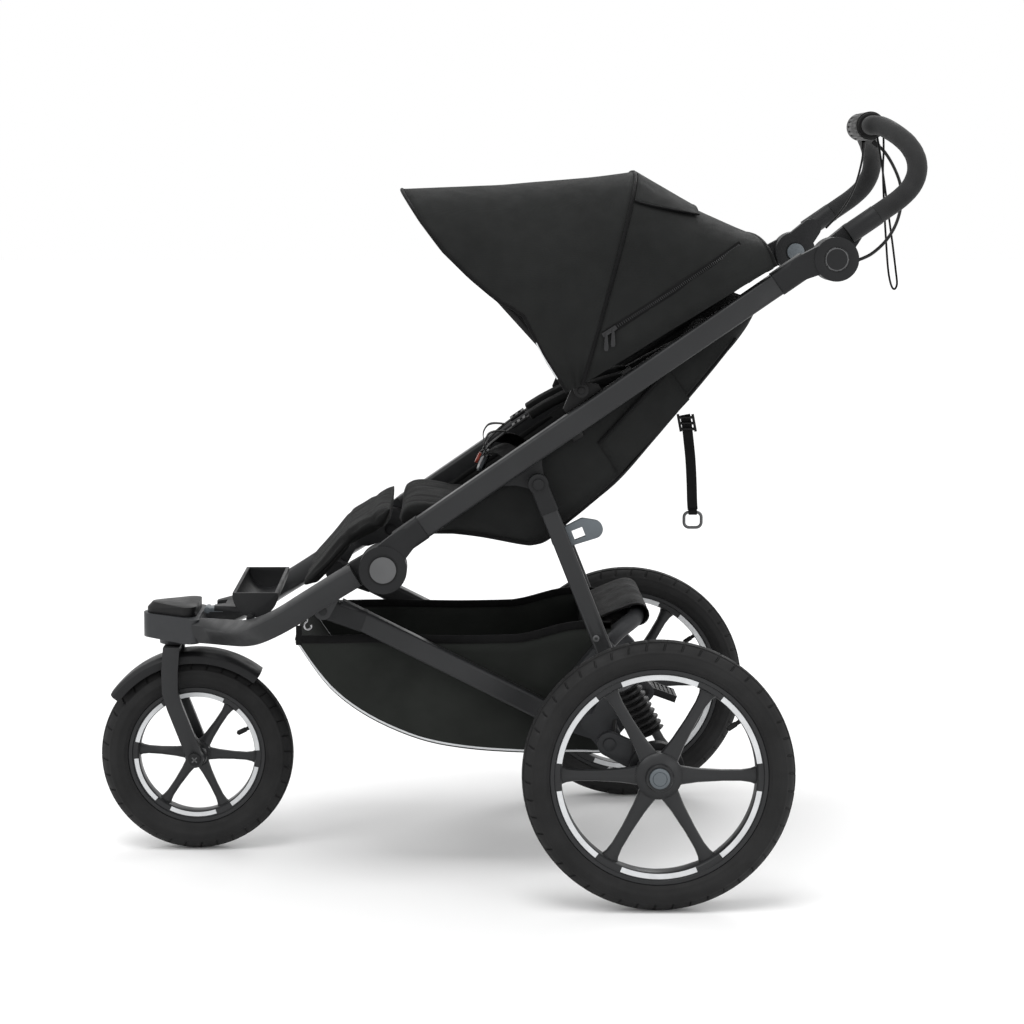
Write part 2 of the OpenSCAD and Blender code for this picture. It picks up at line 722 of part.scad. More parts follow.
// place across the stroller, beside the folded front wheel and its axle
strap_y = 62;
ring_at = [74, 538];
strap_path = [for (p = [[61, 703], [64, 686], [67, 661], [70, 632], [72, 597], [73, 568],
    [ring_at.x, ring_at.y + 16]]) [p.x, -strap_y, p.y]];
module recline_strap() {
    place() color("#1f2122") sweep(smooth(strap_path, 3), box_points(strap_w / 2, 1, 0.8), [0, 1, 0]);
}
module recline_ring() {
    place() color("#85898c") at(ring_at) plate_y(-strap_y - 2, -strap_y + 2) difference() {
        round_rect(32, 29, 9);
        round_rect(23, 20, 6);
    }
}

// ---- Rear legs ----
module leg_line() {
    d = S - P;
    at(P) rotate([0, -atan2(d.y, d.x), 0]) children();
}
leg_len = norm(S - P);
clevis_len = 46;
module rear_legs() {
    y = -(leg_in + leg_out) / 2;
    place() color("#45484b") both() leg_line() {
        translate([clevis_len - 10, y, 0]) bar_x(leg_len - clevis_len + 10, leg_d, leg_t, 4);
        translate([leg_len, 0, 0]) disc_y(13, -leg_out, -leg_in);
        translate([leg_len - 30, 0, 0]) disc_y(5, -leg_out - 1.5, -leg_out + 1);
    }
}
module leg_clevises() {
    place() color("#232527") both() leg_line() difference() {
        union() {
            disc_y(15, -leg_out - 0.5, -leg_in);
            translate([0, -(leg_in + leg_out) / 2, 0]) bar_x(clevis_len, leg_d + 2, leg_t + 1, 4);
        }
        translate([clevis_len - 10, -(leg_in + leg_out) / 2, 0]) bar_x(40, leg_d, leg_t, 4);
        disc_y(pivot_r + fit, -leg_out - 2, -leg_in + 2);
    }
}
latch_at = 92;
module fold_latch() {
    place() color("#60686c") leg_line() translate([latch_at, 0, 0]) {
        difference() {
            plate_y(-leg_in + gap, -leg_in + gap + 11) difference() {
                hull() {
                    circle(r = 14, $fn = HULL_FN);
                    translate([4, 52]) circle(r = 14, $fn = HULL_FN);
                    translate([-10, 40]) circle(r = 8, $fn = HULL_FN);
                }
                translate([-6, 20]) square([15, 17]);
            }
            disc_y(4 + fit, -leg_in - 2, -leg_in + 20);
        }
    }
}

// ---- Handlebar, from the handlebar hinge ----
arm_rise = 19;
arm_start = 37;
knob_rel = [80, 202];                // middle of the brake knob, from the handlebar hinge
arm_stop = 88;
function on_arm(a) = a * main_dir + arm_rise * main_up;
grip_start = on_arm(arm_stop + 0.3);
grip_next = on_arm(arm_stop + 20);
grip_points = [[grip_start.x, -half, grip_start.y], [grip_next.x, -half, grip_next.y],
    [96, -half + 1, 90], [113, -half + 5, 107], [123, -half + 12, 128], [124, -half + 26, 150],
    [116, -half + 48, 171], [103, -half + 82, 188],
    [90, -half + 120, 200],
    [knob_rel.x, -knob_len / 2 - 22, knob_rel.y], [knob_rel.x, -knob_len / 2 - 3, knob_rel.y]];
grip_path = [for (p = smooth(grip_points, 3)) [H.x + p.x, p.y, H.y + p.z]];
module handle_arms() {
    place() color("#2c2e30") both() difference() {
        in_main() translate([main_len, 0, 0]) union() {
            disc_y(handle_hinge_r, -disc_split + gap / 2, -disc_in);
            hull() {
                translate([6, 0, 8]) disc_y(22, -disc_split + gap / 2, -disc_in);
                translate([arm_start + 6, 0, arm_rise - 2]) disc_y(16, -disc_split + gap / 2, -disc_in);
            }
            translate([arm_start, -half, arm_rise]) rotate([0, 90, 0]) cylinder(r = 15.5, h = arm_stop - arm_start);
        }
        at(H) disc_y(8 + fit, -disc_out, -disc_in + 1);
        at(H) disc_y(14.3, -disc_in - 11, -disc_in + 1);
    }
}
module foam_grip() {
    place() color("#313335") both() sweep(grip_path, ring_points(grip_d / 2, 20), [1, 0, -1]);
}
module handle_button(s) {
    place() color("#5c666c") on_side(s) at(H) disc_y(14, -disc_in - 7, -disc_in + 4);
}
module handle_button_left() { handle_button(-1); }
module handle_button_right() { handle_button(1); }

knob_at = H + knob_rel;
module brake_knob() {
    place() color("#26282a") at(knob_at) difference() {
        disc_y(knob_r, -knob_len / 2, knob_len / 2);
        for (k = [0:17]) rotate([0, 20 * k, 0]) translate([knob_r + 0.6, 0, 0])
            disc_y(1.8, -knob_len / 2 + 14, knob_len / 2 - 14);
    }
}

cable_r = 2.5;
brake_run = [[86, -38, 177], [101, -44, 163], [112, -64, 140], [117, -96, 112], [113, -128, 84],
    [101, -156, 54], [82, -178, 28], [58, -192, 8], [36, -198, -2]];
release_run = [[84, 38, 178], [85, 52, 152], [82, 84, 116], [76, 118, 88], [64, 150, 62], [48, 172, 40]];
module brake_cables() {
    place() color("#4a4c4e") {
        sweep([for (p = smooth(brake_run, 4)) [H.x + p.x, p.y, H.y + p.z]],
            ring_points(cable_r, 8), [1, 0, -1]);
        sweep([for (p = smooth(release_run, 4)) [H.x + p.x, p.y, H.y + p.z]],
            ring_points(cable_r * 0.7, 8), [1, 0, -1]);
    }
}

strap_loop = [[86, -70, 184], [90, -72, 160], [96, -74, 120], [103, -76, 70], [110, -78, 20],
    [115, -80, -20], [117, -82, -42], [112, -86, -50], [106, -90, -42], [101, -92, -18],
    [97, -92, 30], [94, -90, 80], [92, -88, 130], [93, -86, 160], [93, -84, 183]];
module wrist_strap() {
    place() color("#0f0f10") sweep([for (p = smooth(strap_loop, 2)) [H.x + p.x, p.y, H.y + p.z]],
        ring_points(1.6, 8), [0.2, 1, 0]);
}

// ---- Canopy, from its hub on the main tube; side view as [along, above] the hinge line ----
bow_mid = [656, 269];
bow_tip = [342, 453];
hoop = [749, 89];
hoop_low = [737, 42];
mid_half = half - 1;
front_half = half + 6;
panel_half = half + 13;
bow_w = 9;
bow_t = 5;
arch_n = 20;
// Arch over the stroller: half-width a, foot p, crown q
function arch(a, p, q) = [for (k = [0:arch_n]) let (t = 180 * k / arch_n,
        y = -a * sign(cos(t)) * pow(abs(cos(t)), 0.72), h = pow(sin(t) + 0.0001, 0.62))
    [p.x + (q.x - p.x) * h, y, p.y + (q.y - p.y) * h]];
// Front edge: its side view swings forward of the straight line half way up
edge_swing = [[0, 0], [64, 8], [137, 24], [171, 8], [223, -2], [279, -8], [334, -6], [390, 0]];
function edge_arch(a, p, q) = [for (k = [0:arch_n]) let (t = 180 * k / arch_n,
        y = -a * sign(cos(t)) * pow(abs(cos(t)), 0.72), h = pow(sin(t) + 0.0001, 0.62),
        w = p.y + (q.y - p.y) * h)
    [p.x + (q.x - p.x) * h + lookup((q.y - p.y) * h, edge_swing), y, w]];
hub = [hub_u, hub_w];

// Flat batten bent to an arch, its thin side outwards
module bow(a, p, q) {
    sweep(arch(a, toward(p, q, 8), q), box_points(bow_t / 2, bow_w / 2, 1), [p.y - q.y, 0, q.x - p.x]);
}
function toward(p, q, d) = p + d * unit(q - p);

module canopy_mid_bow() {
    place() color("#1f2123") in_main() {
        bow(mid_half, hub, bow_mid - [8, 12]);
        both() difference() {
            translate([hub_u, 0, hub_w]) disc_y(11, -mid_half - 3, -mid_half + 3);
            translate([hub_u, 0, hub_w]) disc_y(5 + fit, -mid_half - 4, -mid_half + 4);
        }
    }
}
module canopy_front_bow() {
    place() color("#1f2123") in_main() {
        bow(front_half, hub, toward(hub, bow_tip, norm(bow_tip - hub) - 12));
        both() difference() {
            translate([hub_u, 0, hub_w]) disc_y(11, -front_half - 3, -front_half + 3);
            translate([hub_u, 0, hub_w]) disc_y(5 + fit, -front_half - 4, -front_half + 4);
        }
    }
}

front_foot = [377, 62];
rear_foot = hoop_low;
function panel_rows(a, cut) = let (
        mid = arch(a, hub + [4, 6], bow_mid + cut * [-0.9, -1]),
        front = edge_arch(a, front_foot, bow_tip + cut * [0.5, -1]))
    [for (i = [0:6]) [for (k = [0:arch_n]) mix(front[k], mid[k], i / 6)]];
function rear_rows(a, cut) = let (
        mid = arch(a, hub + [8, 6], bow_mid + [4, 0] + cut * [-0.9, -1]),
        back = arch(a, rear_foot, hoop + cut * [-0.6, -1]),
        flap = arch(a, rear_foot + [-4, 0], rear_foot - [21, 2] + cut * [-1, 0]))
    concat([for (i = [0:6]) [for (k = [0:arch_n]) mix(mid[k], back[k], i / 6)]], [flap]);

module canopy_front_panel() {
    place() color("#3c3f3e") in_main()
        sheet(panel_rows(panel_half + fabric_t, 0), panel_rows(panel_half, fabric_t));
}
module canopy_rear_panel() {
    place() color("#3c3f3e") in_main()
        sheet(rear_rows(panel_half + fabric_t, 0), rear_rows(panel_half, fabric_t));
}

lower_rails();
rail_end_fittings();
rear_castings();
rear_cross_tube();
basket();
spring_boots();
suspension_springs();
brake_pedal();
swing_arm_left();
swing_arm_right();
brake_drum_left();
brake_drum_right();
rear_tyre_left();
rear_tyre_right();
rear_rim_left();
rear_rim_right();
hub_button_left();
hub_button_right();
front_tubes();
front_hinge_shells();
head_bracket();
head_cover();
footrest();
swivel_lock();
fork();
front_fender();
front_axle();
front_tyre();
front_rim();
main_tubes();
upper_hinge_shells();
hinge_caps();
leg_brackets();
handle_hinge_shells();
canopy_mounts();
seat_sling();
seat_pad();
calf_rest();
harness_straps();
harness_buckle();
harness_button();
backrest_pad();
recline_strap();
recline_ring();
rear_legs();
leg_clevises();
fold_latch();
handle_arms();
foam_grip();
brake_cables();
wrist_strap();
handle_button_left();
handle_button_right();
brake_knob();
canopy_mid_bow();
canopy_rear_panel();
canopy_front_bow();
canopy_front_panel();
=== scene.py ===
"""Looks of a three-wheeled folding jogging stroller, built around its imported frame.

Everything is in metres in the part's own frame: +X back towards the person pushing, +Z up, and the
stroller's left side at -Y. Shapes drawn in the seat's side view use seat(along, above, y), in
millimetres from the fold hinge along the line to the handlebar hinge.
"""
import json
import math

import bmesh
import bpy
import numpy as np
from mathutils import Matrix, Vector, noise
from mathutils.bvhtree import BVHTree


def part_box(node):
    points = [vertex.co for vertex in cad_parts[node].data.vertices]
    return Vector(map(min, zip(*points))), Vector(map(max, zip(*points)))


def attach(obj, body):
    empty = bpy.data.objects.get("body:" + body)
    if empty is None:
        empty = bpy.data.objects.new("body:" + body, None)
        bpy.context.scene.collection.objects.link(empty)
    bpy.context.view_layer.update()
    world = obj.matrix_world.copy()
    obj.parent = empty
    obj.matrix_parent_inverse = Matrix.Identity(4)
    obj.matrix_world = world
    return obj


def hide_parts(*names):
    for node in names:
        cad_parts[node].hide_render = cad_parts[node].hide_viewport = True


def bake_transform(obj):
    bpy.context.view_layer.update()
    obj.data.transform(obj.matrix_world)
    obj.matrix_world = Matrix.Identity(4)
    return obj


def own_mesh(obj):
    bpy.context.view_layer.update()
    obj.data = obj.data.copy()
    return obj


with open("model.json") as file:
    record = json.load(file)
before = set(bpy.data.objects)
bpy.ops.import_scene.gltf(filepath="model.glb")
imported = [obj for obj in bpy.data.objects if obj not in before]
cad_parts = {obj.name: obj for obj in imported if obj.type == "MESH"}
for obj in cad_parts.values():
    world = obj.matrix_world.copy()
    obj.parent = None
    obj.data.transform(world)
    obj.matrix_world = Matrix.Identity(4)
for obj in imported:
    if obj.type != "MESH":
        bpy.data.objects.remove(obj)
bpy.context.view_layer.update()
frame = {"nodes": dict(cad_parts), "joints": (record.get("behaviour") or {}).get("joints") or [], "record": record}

MM = 0.001
SIDES = {"left": -1, "right": 1}
ACROSS = Vector((0, 1, 0))
hinge = {j["name"]: Vector(j["pos_m"]) for j in frame["joints"] if "pos_m" in j}
FOLD, HANDLE = hinge["main_fold"], hinge["handle_tilt"]
ALONG = (HANDLE - FOLD).normalized()
ABOVE = Vector((-ALONG.z, 0, ALONG.x))
BACK, UP = Vector((1, 0, 0)), Vector((0, 0, 1))


def middle(node):
    low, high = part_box(node)
    return (low + high) / 2


AXLE_X = middle("rear_rim_left").x


def seat(u, w, y=0.0):
    """Point in the seat's side view, u along and w above the hinge line, in millimetres."""
    return FOLD + u * MM * ALONG + w * MM * ABOVE + Vector((0, y * MM, 0))


def ground(x, z, y=0.0):
    """Point x behind the rear axle and z above the ground, in millimetres."""
    return Vector((AXLE_X + x * MM, y * MM, z * MM))


def grip(x, y, z):
    """Point from the handlebar hinge, in millimetres."""
    return Vector((HANDLE.x + x * MM, y * MM, HANDLE.z + z * MM))


# ---- Camera, light and floor ----
def make_camera():
    data = bpy.data.cameras.new("camera")
    data.lens, data.sensor_width = 80.13, 36
    data.shift_x, data.shift_y = 0.0555, -0.1595
    obj = bpy.data.objects.new("camera", data)
    obj.location = (-0.0695, -3.5964, 1.0531)
    obj.rotation_euler = (math.radians(86), 0, 0)
    bpy.context.scene.collection.objects.link(obj)
    bpy.context.scene.camera = obj


def area_light(name, place, aim, size, watts):
    data = bpy.data.lights.new(name, "AREA")
    data.energy, data.size, data.shape = watts, size, "SQUARE"
    obj = bpy.data.objects.new(name, data)
    obj.location = place
    obj.rotation_euler = (Vector(aim) - Vector(place)).to_track_quat("-Z", "Y").to_euler()
    bpy.context.scene.collection.objects.link(obj)


def make_stage():
    world = bpy.data.worlds.new("studio")
    world.use_nodes = True
    back = world.node_tree.nodes["Background"]
    back.inputs["Color"].default_value = (1, 1, 1, 1)
    back.inputs["Strength"].default_value = 1.0
    bpy.context.scene.world = world
    bpy.context.scene.view_settings.view_transform = "Standard"
    sky = bpy.data.lights.new("overhead", "SUN")
    sky.energy, sky.angle = 1.25, math.radians(28)
    above = bpy.data.objects.new("overhead", sky)
    above.rotation_euler = (math.radians(14), math.radians(-8), 0)
    bpy.context.scene.collection.objects.link(above)
    area_light("key", (-2.4, -2.0, 3.0), (0, 0, 0.6), 1.6, 26)
    area_light("fill", (2.6, -2.6, 1.6), (0, 0, 0.5), 1.6, 16)
    area_light("rim", (1.2, 2.6, 2.6), (0, 0, 0.7), 1.4, 30)
    mesh = bpy.data.meshes.new("floor")
    reach = 30.0
    corners = [(-reach, -reach, 0), (reach, -reach, 0), (reach, reach, 0), (-reach, reach, 0)]
    mesh.from_pydata(corners, [], [(0, 1, 2, 3)])
    floor = bpy.data.objects.new("floor", mesh)
    bpy.context.scene.collection.objects.link(floor)
    pale = bpy.data.materials.new("pale_floor")
    pale.use_nodes = True
    shader = pale.node_tree.nodes["Principled BSDF"]
    shader.inputs["Base Color"].default_value = (0.79, 0.79, 0.79, 1)
    shader.inputs["Roughness"].default_value = 0.9
    shader.inputs["Specular IOR Level"].default_value = 0.1
    mesh.materials.append(pale)


# ---- Materials ----
class Surface:
    """A procedural material: colour variation, roughness variation and bump in the row frame."""

    def __init__(self, name, colour, rough, spread=0.12, scale=9.0, **sockets):
        self.name, self.material = name, bpy.data.materials.new(name)
        self.material.use_nodes = True
        self.tree = self.material.node_tree
        self.shader = self.tree.nodes["Principled BSDF"]
        self.place = self.tree.nodes.new("ShaderNodeTexCoord").outputs["Object"]
        self.height = None
        for socket, value in sockets.items():
            self.shader.inputs[socket.replace("_", " ")].default_value = value
        self.vary_colour(colour, spread, scale)
        self.vary_roughness(rough)

    def node(self, kind, **values):
        made = self.tree.nodes.new(kind)
        for name, value in values.items():
            made.inputs[name.replace("_", " ")].default_value = value
        return made

    def noise(self, scale, detail=3.0):
        made = self.node("ShaderNodeTexNoise", Scale=scale, Detail=detail)
        self.tree.links.new(self.place, made.inputs["Vector"])
        return made.outputs["Fac"]

    def ramp(self, value, low, high, start=0.35, stop=0.65):
        made = self.node("ShaderNodeValToRGB")
        first, last = made.color_ramp.elements
        first.position, last.position = start, stop
        first.color, last.color = (*low, 1), (*high, 1)
        self.tree.links.new(value, made.inputs["Fac"])
        return made.outputs["Color"]

    def vary_colour(self, colour, spread, scale):
        dark = [c * (1 - spread) for c in colour]
        light = [c * (1 + spread) for c in colour]
        shade = self.ramp(self.noise(scale), dark, light)
        self.tree.links.new(shade, self.shader.inputs["Base Color"])

    def vary_roughness(self, rough):
        value = self.ramp(self.noise(38.0, 5.0), [rough - 0.07] * 3, [rough + 0.07] * 3)
        self.tree.links.new(value, self.shader.inputs["Roughness"])

    def bump(self, height, distance, strength=1.0):
        made = self.node("ShaderNodeBump", Strength=strength, Distance=distance)
        self.tree.links.new(height, made.inputs["Height"])
        if self.height is not None:
            self.tree.links.new(self.height, made.inputs["Normal"])
        self.height = made.outputs["Normal"]
        self.tree.links.new(self.height, self.shader.inputs["Normal"])
        return self

    def grain(self, scale, distance, strength=1.0):
        return self.bump(self.noise(scale, 2.0), distance, strength)

    def pores(self, scale, distance):
        made = self.node("ShaderNodeTexVoronoi", Scale=scale)
        self.tree.links.new(self.place, made.inputs["Vector"])
        return self.bump(made.outputs["Distance"], distance)

    def weave(self, pitch, distance, directions="XYZ"):
        """Threads that cross at right angles; two of the directions show on any face."""
        for axis in directions:
            made = self.node("ShaderNodeTexWave", Scale=0.314 / pitch, Distortion=0.6)
            made.bands_direction = axis
            self.tree.links.new(self.place, made.inputs["Vector"])
            self.bump(made.outputs["Fac"], distance, 0.7)
        return self


def make_materials():
    """One material for each of the record's slots, and a few for trim."""
    coat = dict(Metallic=0.3, Coat_Weight=0.06, Coat_Roughness=0.35, Specular_IOR_Level=0.3)
    dull = dict(Specular_IOR_Level=0.2)
    cloth = dict(Sheen_Weight=0.03, Sheen_Roughness=0.4, Specular_IOR_Level=0.1)
    made = [
        Surface("frame_coat", (0.019, 0.0195, 0.0205), 0.42, 0.1, 6, **coat).grain(2600, 0.00004),
        Surface("casting", (0.026, 0.027, 0.029), 0.5, 0.1, 6, **coat).grain(1500, 0.00006),
        Surface("dark_plastic", (0.010, 0.0103, 0.011), 0.5, **dull).grain(1800, 0.00006),
        Surface("black_plastic", (0.005, 0.005, 0.0052), 0.46, **dull).grain(1800, 0.00006),
        Surface("button_grey", (0.075, 0.088, 0.098), 0.42).grain(1600, 0.00004),
        Surface("cap_grey", (0.07, 0.071, 0.073), 0.42).grain(1600, 0.00004),
        Surface("buckle_grey", (0.045, 0.05, 0.055), 0.34).grain(1600, 0.00003),
        Surface("release_red", (0.24, 0.035, 0.02), 0.36).grain(1600, 0.00003),
        Surface("tyre_rubber", (0.0105, 0.0105, 0.0107), 0.66, 0.2, 14, **dull).grain(900, 0.00012),
        Surface("foam", (0.014, 0.0142, 0.0145), 0.8, 0.15, 30, Sheen_Weight=0.08, **dull)
            .pores(900, 0.00025),
        Surface("cable", (0.006, 0.006, 0.006), 0.4, **dull).grain(900, 0.00004),
        Surface("shell_fabric", (0.0115, 0.012, 0.0118), 0.8, 0.16, 5, **cloth)
            .weave(0.0011, 0.00012),
        Surface("basket_fabric", (0.016, 0.0175, 0.016), 0.82, 0.2, 7, **cloth)
            .weave(0.0016, 0.00018),
        Surface("seat_fabric", (0.0065, 0.0067, 0.0067), 0.85, 0.16, 9, **cloth)
            .weave(0.0013, 0.00016),
        Surface("webbing", (0.005, 0.005, 0.0052), 0.6, 0.1, 60, **cloth)
            .weave(0.0019, 0.0003, "XZ"),
        Surface("boot_rubber", (0.009, 0.009, 0.0093), 0.5, **dull).grain(700, 0.00008),
        Surface("steel", (0.45, 0.45, 0.46), 0.32, 0.05, 20, Metallic=1.0).grain(600, 0.00003),
        Surface("bow", (0.006, 0.006, 0.0063), 0.45, **dull).grain(1200, 0.00005),
        Surface("reflective", (0.55, 0.56, 0.57), 0.35, 0.06, 50).pores(1400, 0.00006),
        Surface("binding", (0.004, 0.004, 0.0042), 0.7, 0.1, 30, **cloth).weave(0.0009, 0.00014),
        Surface("zip_metal", (0.03, 0.03, 0.031), 0.3, 0.1, 20, Metallic=0.8).grain(900, 0.00003),
    ]
    return {surface.name: surface.material for surface in made}


# ---- Shape helpers ----
def circle(radius, sides=16):
    return [(radius * math.cos(2 * math.pi * k / sides), radius * math.sin(2 * math.pi * k / sides))
            for k in range(sides)]


def ring(centre, radius, u, v, sides):
    """Circle of points about a centre, from u towards v."""
    return [centre + radius * math.cos(t) * u + radius * math.sin(t) * v
            for t in (2 * math.pi * k / sides for k in range(sides))]


def slab(width, height, radius, steps=3):
    """Rounded rectangle as (across, up) points."""
    points = []
    for corner in range(4):
        sx = 1 if corner in (0, 3) else -1
        sy = 1 if corner < 2 else -1
        for k in range(steps + 1):
            a = math.radians(90 * corner + 90 * k / steps)
            points.append((sx * (width / 2 - radius) + radius * math.cos(a),
                           sy * (height / 2 - radius) + radius * math.sin(a)))
    return points


def smooth_path(points, steps=6):
    """Catmull-Rom curve through points."""
    points = [Vector(p) for p in points]
    last = len(points) - 1
    path = []
    for i in range(last):
        a, b, c, d = (points[max(i - 1, 0)], points[i], points[i + 1], points[min(i + 2, last)])
        for k in range(steps):
            t = k / steps
            path.append(0.5 * (2 * b + (c - a) * t + (2 * a - 5 * b + 4 * c - d) * t * t
                               + (3 * b - a - 3 * c + d) * t ** 3))
    return path + [points[last]]


class Shape:
    """Points and faces gathered before they become one piece."""

    def __init__(self):
        self.points, self.faces = [], []

    def add(self, points, faces):
        start = len(self.points)
        self.points += [Vector(p) for p in points]
        self.faces += [tuple(start + i for i in face) for face in faces]
        return self

    def loft(self, rings, around=False, closed=True):
        """Skin over rings of points; around joins the last ring to the first."""
        rows, n = len(rings), len(rings[0])
        faces = []
        for i in range(rows if around else rows - 1):
            for j in range(n if closed else n - 1):
                a, b = i * n + j, i * n + (j + 1) % n
                c, d = ((i + 1) % rows) * n + (j + 1) % n, ((i + 1) % rows) * n + j
                faces.append((a, b, c, d))
        if closed and not around:
            faces += [tuple(range(n - 1, -1, -1)), tuple((rows - 1) * n + j for j in range(n))]
        return self.add([p for ring in rings for p in ring], faces)

    def sweep(self, path, section, across=ACROSS, scale=None):
        rings = []
        last = len(path) - 1
        for i, p in enumerate(path):
            t = (path[min(i + 1, last)] - path[max(i - 1, 0)]).normalized()
            a = (across - across.dot(t) * t).normalized()
            b = t.cross(a)
            k = scale[i] if scale else 1.0
            rings.append([p + k * (q[0] * a + q[1] * b) for q in section])
        return self.loft(rings)

    def lathe(self, centre, profile, turns=96, axis="Y"):
        """Closed profile of (radius, along) points turned about an axis through centre."""
        rings = []
        for k in range(turns):
            c, s = math.cos(2 * math.pi * k / turns), math.sin(2 * math.pi * k / turns)
            if axis == "Y":
                rings.append([centre + Vector((r * c, y, r * s)) for r, y in profile])
            else:
                rings.append([centre + Vector((r * c, r * s, y)) for r, y in profile])
        return self.loft(rings, around=True)

    def piece(self, name, slot, body=None, replaces=(), angle=40, material=None):
        mesh = bpy.data.meshes.new(name)
        mesh.from_pydata([tuple(p) for p in self.points], [], self.faces)
        tidy = bmesh.new()
        tidy.from_mesh(mesh)
        bmesh.ops.remove_doubles(tidy, verts=tidy.verts, dist=1e-6)
        bmesh.ops.recalc_face_normals(tidy, faces=tidy.faces)
        tidy.to_mesh(mesh)
        tidy.free()
        mesh.materials.append(material or finish[slot])
        mesh.shade_smooth()
        mesh.set_sharp_from_angle(angle=math.radians(angle))
        obj = bpy.data.objects.new(name, mesh)
        bpy.context.scene.collection.objects.link(obj)
        if body:
            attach(obj, body)
        if replaces:
            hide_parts(*replaces)
        return obj


def bake(obj):
    """Applies the piece's modifiers to its mesh."""
    graph = bpy.context.evaluated_depsgraph_get()
    mesh = bpy.data.meshes.new_from_object(obj.evaluated_get(graph))
    obj.modifiers.clear()
    obj.data = mesh
    return obj


# ---- CAD nodes that stay: soft edges and smooth shading from modifiers ----
def smooth_by_angle():
    """Node group that keeps edges sharper than a limit and smooths the rest."""
    limit = 0.75
    group = bpy.data.node_groups.new("smooth_by_angle", "GeometryNodeTree")
    for way in ("INPUT", "OUTPUT"):
        group.interface.new_socket("Geometry", in_out=way, socket_type="NodeSocketGeometry")
    start, stop = group.nodes.new("NodeGroupInput"), group.nodes.new("NodeGroupOutput")
    every = group.nodes.new("GeometryNodeSetShadeSmooth")
    every.inputs["Shade Smooth"].default_value = True
    sharp = group.nodes.new("GeometryNodeSetShadeSmooth")
    sharp.domain = "EDGE"
    sharp.inputs["Shade Smooth"].default_value = False
    bend = group.nodes.new("GeometryNodeInputMeshEdgeAngle")
    test = group.nodes.new("FunctionNodeCompare")
    test.operation = "GREATER_THAN"
    test.inputs[1].default_value = limit
    links = group.links
    links.new(start.outputs[0], every.inputs["Geometry"])
    links.new(every.outputs[0], sharp.inputs["Geometry"])
    links.new(bend.outputs["Unsigned Angle"], test.inputs[0])
    links.new(test.outputs[0], sharp.inputs["Selection"])
    links.new(sharp.outputs[0], stop.inputs[0])
    return group


def dress_nodes():
    """Gives every CAD node its slot's material and soft edges."""
    group = smooth_by_angle()
    plain = {"suspension_springs", "brake_cables", "wrist_strap", "recline_strap"}
    for part in frame["record"]["subparts"]:
        node = frame["nodes"][part["node"]]
        node.data.materials.clear()
        node.data.materials.append(finish[part["material_slot"]])
        for polygon in node.data.polygons:
            polygon.material_index = 0
        if "custom_normal" in node.data.attributes:
            node.data.attributes.remove(node.data.attributes["custom_normal"])
        weld = node.modifiers.new("weld", "WELD")
        weld.merge_threshold = 0.00002
        if part["node"] not in plain:
            bevel = node.modifiers.new("soft_edges", "BEVEL")
            bevel.width, bevel.segments = 0.0009, 2
            bevel.limit_method, bevel.angle_limit = "ANGLE", math.radians(38)
        shade = node.modifiers.new("smooth", "NODES")
        shade.node_group = group


# ---- Cords: the strap behind the seat and the wrist strap ----
def recline_strap():
    """Webbing that hangs from the back of the seat, with a slider at its top and a ring to pull."""
    width, thick = 0.016, 0.002
    route = [(61, 703), (64, 686), (67, 661), (70, 632), (72, 597), (73, 568), (74, 554)]
    beside = middle("recline_ring").y / MM
    path = smooth_path([ground(x, z, beside) for x, z in route], 5)
    section = slab(width, thick, 0.0008, 1)
    strap = Shape().sweep(path, section, BACK).piece(
        "recline_strap_webbing", "webbing", "backrest", ["recline_strap"])
    centre = middle("recline_ring")
    half_w, half_h, bend, wire = 0.0135, 0.012, 0.008, 0.0024
    outline = []
    for corner in range(4):
        sx, sz = (1 if corner in (0, 3) else -1), (1 if corner < 2 else -1)
        for k in range(7):
            a = math.radians(90 * corner + 15 * k)
            outline.append(centre + Vector((sx * (half_w - bend) + bend * math.cos(a), 0,
                                            sz * (half_h - bend) + bend * math.sin(a))))
    rings = []
    for i, p in enumerate(outline):
        t = (outline[(i + 1) % len(outline)] - outline[i - 1]).normalized()
        b = t.cross(ACROSS)
        rings.append([p + q[0] * ACROSS + q[1] * b for q in circle(wire, 12)])
    ring_piece = Shape().loft(rings, around=True).piece(
        "recline_ring_loop", "cap_grey", "backrest", ["recline_ring"])
    loop = Shape()
    turn = [centre + Vector((0, 0.0045 * math.sin(a), 0.0125 + 0.0045 * math.cos(a)))
            for a in [-2.6 + 5.2 * k / 12 for k in range(13)]]
    loop.sweep(turn, slab(width - 0.003, 0.0016, 0.0006, 1), BACK)
    loop_piece = loop.piece("recline_strap_fold", "webbing", "backrest")
    slider = Shape()
    top = path[0]
    for drop in (0.004, 0.013, 0.022):
        bar = [top + Vector((0.2 * drop + x, -0.003, -drop)) for x in (-0.0115, 0.0115)]
        slider.sweep(bar, circle(0.0024, 10))
    for x in (-0.0115, 0.0115):
        side = [top + Vector((x, -0.003, 0.001)), top + Vector((0.005 + x, -0.003, -0.026))]
        slider.sweep(side, slab(0.005, 0.004, 0.0012, 2))
    slider.piece("recline_slider", "black_plastic", "backrest")


def wrist_strap():
    """Thin loop that hangs from the grip, over the wrist of the person pushing."""
    radius = 0.0016
    route = [(86, -70, 184), (90, -72, 160), (96, -74, 120), (103, -76, 70), (110, -78, 20),
             (115, -80, -20), (117, -82, -42), (112, -86, -50), (106, -90, -42), (101, -92, -18),
             (97, -92, 30), (94, -90, 80), (92, -88, 130), (93, -86, 160), (93, -84, 183)]
    path = smooth_path([grip(*p) for p in route], 5)
    cord = Shape().sweep(path, circle(radius, 10)).piece("wrist_strap_cord", "webbing",
                                                         "handlebar", ["wrist_strap"])


